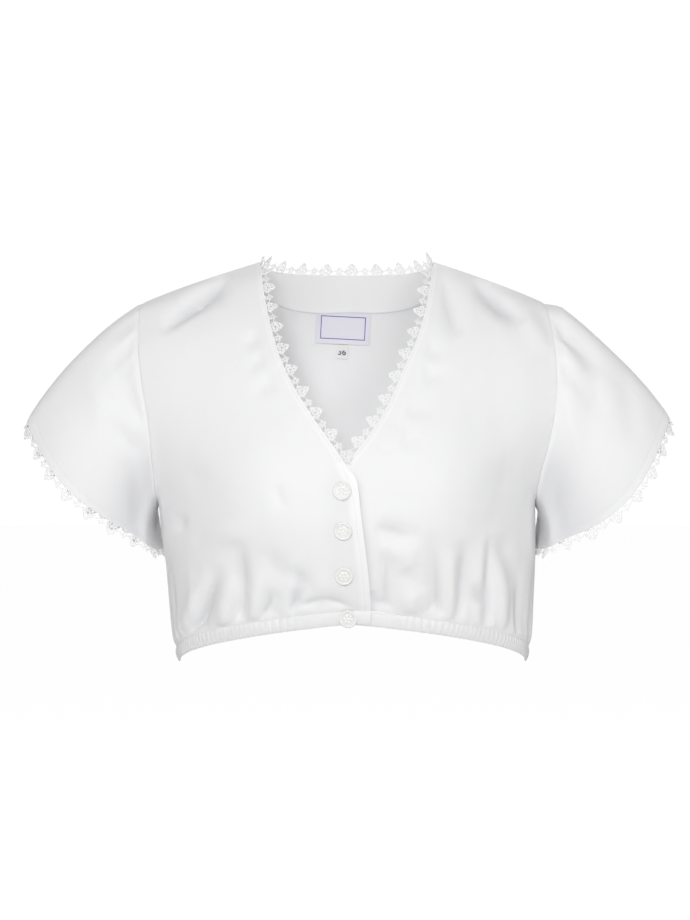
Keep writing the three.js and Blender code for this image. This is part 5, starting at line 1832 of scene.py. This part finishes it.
@dataclass
class NeckInside:
    """The facing, the woven label and the size tab inside the back neck."""

    bodice: Bodice
    finishes: Finishes
    trims: Trims
    facing_section: float = 11.65
    facing_rise: float = 4.4

    def facing(self) -> None:
        """Makes the back neck facing from the back's own points."""
        back = self.bodice.back
        first = float(np.interp(self.facing_section, self.bodice.places, np.arange(len(self.bodice.places))))
        half = (back.points.shape[1] - 1) // 2
        reach = int(round(half * NECK_SHARE)) - 2
        way = np.arange(-reach, reach + 1)
        lowest = first + self.facing_rise * smoothstep(np.abs(way) / reach, 0.2, 1.0)
        share = np.array([0.0, 0.03, *np.linspace(0.08, 1, 12)])[:, None]
        rows = lowest * (1 - share) + (len(self.bodice.places) - 1) * share
        points, normals = back.sample(rows, half + way[None])
        cloth = Cloth("neck_facing", points, flip=True)
        cloth.normals = normals
        fade = smoothstep(np.arange(len(points))[:, None], 0, 5) * np.ones(points.shape[:2])
        cloth.layers = np.full(cloth.points.shape[:2], 0.9)
        # Painted shadow line along the facing's lower edge
        cloth.hollows[:2] = 1.0
        inside = CLOTH / 2 + 0.15
        drop = cloth.normals * (0.25 * (1 - fade))[..., None]
        cloth.points = cloth.points - cloth.normals * (inside + 0.4) - drop
        made = wall_object(cloth, self.finishes.cotton, 0.3, 0.4)
        declare(made, ("back_neck_facing",), Cut(185, 62, 0.8), Held.LAID)
        columns_line = np.arange(1, cloth.points.shape[1] - 1).astype(float)
        points, normals = cloth.sample(np.full_like(columns_line, 1.3), columns_line)
        row = self.trims.stitches("stitches_facing", points - normals * 0.65, -normals, 3.0, 4)
        declare(row, ())

    def laid(
        self,
        name: str,
        centre: tuple[float, float],
        size: tuple[float, float],
        steps: tuple[int, int],
        lift: float,
        droop: float,
        lean: float,
    ) -> Cloth:
        """Lays a small sheet on the inside of the back.

        Args:
            name: The piece's name.
            centre: Its centre seen from the front.
            size: Its width and height.
            steps: Its columns and rows.
            lift: How far it stands off the back.
            droop: How much further its lower edge stands off.
            lean: Its turn in its own plane.

        Returns:
            The sheet.
        """
        back = self.bodice.back
        flat = (back.points - back.normals * (CLOTH / 2)).reshape(-1, 3)
        tree = BVHTree.FromPolygons([Vector(p) for p in flat], back.faces().tolist())
        across, up = np.meshgrid(
            np.linspace(-0.5, 0.5, steps[0] + 1) * size[0], np.linspace(-0.5, 0.5, steps[1] + 1) * size[1]
        )
        x = centre[0] + across * math.cos(lean) - up * math.sin(lean)
        z = centre[1] + across * math.sin(lean) + up * math.cos(lean)
        points = np.zeros((*x.shape, 3))
        for place in np.ndindex(x.shape):
            hit, *_ = tree.ray_cast(Vector((x[place], -60.0, z[place])), Vector((0, 1, 0)))
            share = 0.5 - up[place] / size[1]
            bow = math.cos(math.pi * across[place] / size[0] * 0.96)
            points[place] = (hit.x, hit.y - lift - droop * share * (0.35 + 0.65 * bow), hit.z)
        cloth = Cloth(name, points, flip=False)
        find_normals([cloth], np.arange(points.shape[0] * points.shape[1]))
        return cloth

    def label(self) -> None:
        """Makes the woven label, the size tab and the tab's number."""
        cloth = self.laid("woven_label", (-6.1, -21.7), (48.0, 28.5), (32, 20), 1.0, 1.0, -0.05)
        made = wall_object(cloth, self.finishes.label, 0.25, 0.25)
        rows, columns = cloth.points.shape[:2]
        across, up = np.meshgrid(np.linspace(-24, 24, columns), np.linspace(-14.25, 14.25, rows))
        made.data.uv_layers.remove(made.data.uv_layers["flat"])
        add_uv(made, np.tile(np.stack([across, up], axis=-1).reshape(-1, 2), (2, 1)))
        declare(made, ("label",), Cut(48, 28.5), Held.LAID)
        tab = self.laid("size_label", (-7.1, -42.6), (11.0, 12.3), (8, 8), 0.8, 1.2, -0.05)
        piece = wall_object(tab, self.finishes.tab, 0.2, 0.2)
        declare(piece, ("size_tab",), Cut(11, 12.3), Held.LAID)
        self.figures(tab)

    def figures(self, tab: Cloth) -> None:
        """Puts a plain size number on the tab."""
        text = bpy.data.curves.new("size_number", "FONT")
        text.body = "36"
        text.size = 7.6
        text.offset = 0.12
        text.align_x, text.align_y = "CENTER", "CENTER"
        text.extrude = 0.06
        holder = bpy.data.objects.new("size_number_text", text)
        bpy.context.scene.collection.objects.link(holder)
        bpy.context.view_layer.update()
        mesh = bpy.data.meshes.new_from_object(holder.evaluated_get(bpy.context.evaluated_depsgraph_get()))
        bpy.data.objects.remove(holder)
        middle, _ = tab.sample(np.array([3.6]), np.array([4.0]))
        facing = Vector((0, -1, 0))
        turn = Vector((0, 0, 1)).rotation_difference(facing).to_matrix() @ Euler((0, 0, -0.05)).to_matrix()
        place = Vector(middle[0]) + facing * 0.5
        mesh.transform(Matrix.Scale(MM, 4) @ Matrix.Translation(place) @ turn.to_4x4())
        mesh.materials.clear()
        mesh.materials.append(self.finishes.figures)
        made = bpy.data.objects.new("size_number", mesh)
        bpy.context.scene.collection.objects.link(made)
        declare(made, ())


@dataclass(frozen=True)
class Studio:
    """The camera, the soft lights and the pale floor.

    Attributes:
        centre: What the camera looks at, in millimetres.
        distance: How far in front it stands.
        frame_width: Width of the picture at the blouse.
        floor_z: The floor's height.
    """

    centre: tuple[float, float, float] = (-4.35, 0.0, -139.2)
    distance: float = 4000.0
    frame_width: float = 600.3
    floor_z: float = -620.0

    def camera(self) -> None:
        """Makes the camera level with the blouse's middle."""
        data = bpy.data.cameras.new("camera")
        data.sensor_fit = "HORIZONTAL"
        data.sensor_width = 36.0
        data.lens = data.sensor_width * self.distance / self.frame_width
        made = bpy.data.objects.new("camera", data)
        x, y, z = self.centre
        made.location = Vector((x, y - self.distance, z)) * MM
        made.rotation_euler = (math.pi / 2, 0, 0)
        bpy.context.scene.collection.objects.link(made)
        bpy.context.scene.camera = made

    def light(
        self, name: str, place: tuple[float, float, float], size: float, power: float
    ) -> bpy.types.Object:
        """Makes a large soft light that looks at the blouse."""
        data = bpy.data.lights.new(name, "AREA")
        data.shape = "DISK"
        data.size = size
        data.energy = power
        made = bpy.data.objects.new(name, data)
        made.location = place
        aim = Vector(self.centre) * MM - Vector(place)
        made.rotation_euler = aim.to_track_quat("-Z", "Y").to_euler()
        bpy.context.scene.collection.objects.link(made)
        return made

    def card(self, place: tuple[float, float, float] = (0.0, -0.035, -0.06)) -> None:
        """Makes the small card inside the blouse that lights its back from within."""
        made = self.light("inside_card", place, 0.09, 0.026)
        made.rotation_euler = (math.pi / 2, 0, 0)
        made.visible_camera = False

    def sky(self, ambient: float = 0.29, shown: float = 1.02) -> None:
        """Makes an even white surround that shows a little brighter than it lights."""
        world = bpy.data.worlds.new("studio_white")
        world.use_nodes = True
        bpy.context.scene.world = world
        sheet = NodeSheet(world.node_tree)
        ground = world.node_tree.nodes["Background"]
        ground.inputs["Color"].default_value = (1.0, 1.0, 1.0, 1.0)
        seen = sheet.add("ShaderNodeLightPath").outputs["Is Camera Ray"]
        strength = sheet.math("MULTIPLY_ADD", seen, shown - ambient, ambient)
        sheet.feed(ground.inputs["Strength"], strength)

    def floor(self, material: bpy.types.Material) -> None:
        """Makes the floor, a wide disc."""
        angles = 2 * math.pi * np.arange(64) / 64
        rim = np.stack([30000 * np.cos(angles), 30000 * np.sin(angles), np.full(64, self.floor_z)], axis=-1)
        made = mesh_object("floor", rim, [tuple(range(64))], material)

    def build(self, finishes: Finishes) -> None:
        """Makes the whole studio."""
        self.camera()
        self.sky()
        self.floor(finishes.ground)
        self.card()
        self.light("key", (-0.5, -3.5, 0.8), 0.6, 52.0)
        self.light("fill", (0.6, -3.6, -0.15), 0.8, 15.5)
        self.light("side_right", (-3.2, -1.4, -0.05), 1.0, 6.0)
        self.light("side_left", (3.2, -1.2, -0.05), 1.0, 12.0)
        self.light("top", (0.0, -1.0, 3.2), 1.2, 17.0)
        self.light("backdrop", (0.0, 3.4, 0.6), 2.6, 25.0)
        bpy.context.scene.view_settings.view_transform = "Standard"


def main() -> None:
    """Builds the blouse and its studio in order."""
    logging.basicConfig(level=logging.INFO, format="%(name)s: %(message)s")
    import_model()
    finishes = Finishes.build()
    Studio().build(finishes)
    pattern = Pattern()
    bodice = Bodice(pattern)
    bodice.build(finishes)
    Casing(pattern, bodice.gathers).build(finishes.cotton)
    trims = Trims(finishes)
    edging = Edging(bodice, trims)
    edging.neck()
    edging.cuffs()
    edging.seams()
    Buttons().build(bodice, finishes.pearl)
    inside = NeckInside(bodice, finishes, trims)
    inside.facing()
    inside.label()
    trims.clear()


if __name__ == "__main__":
    main()
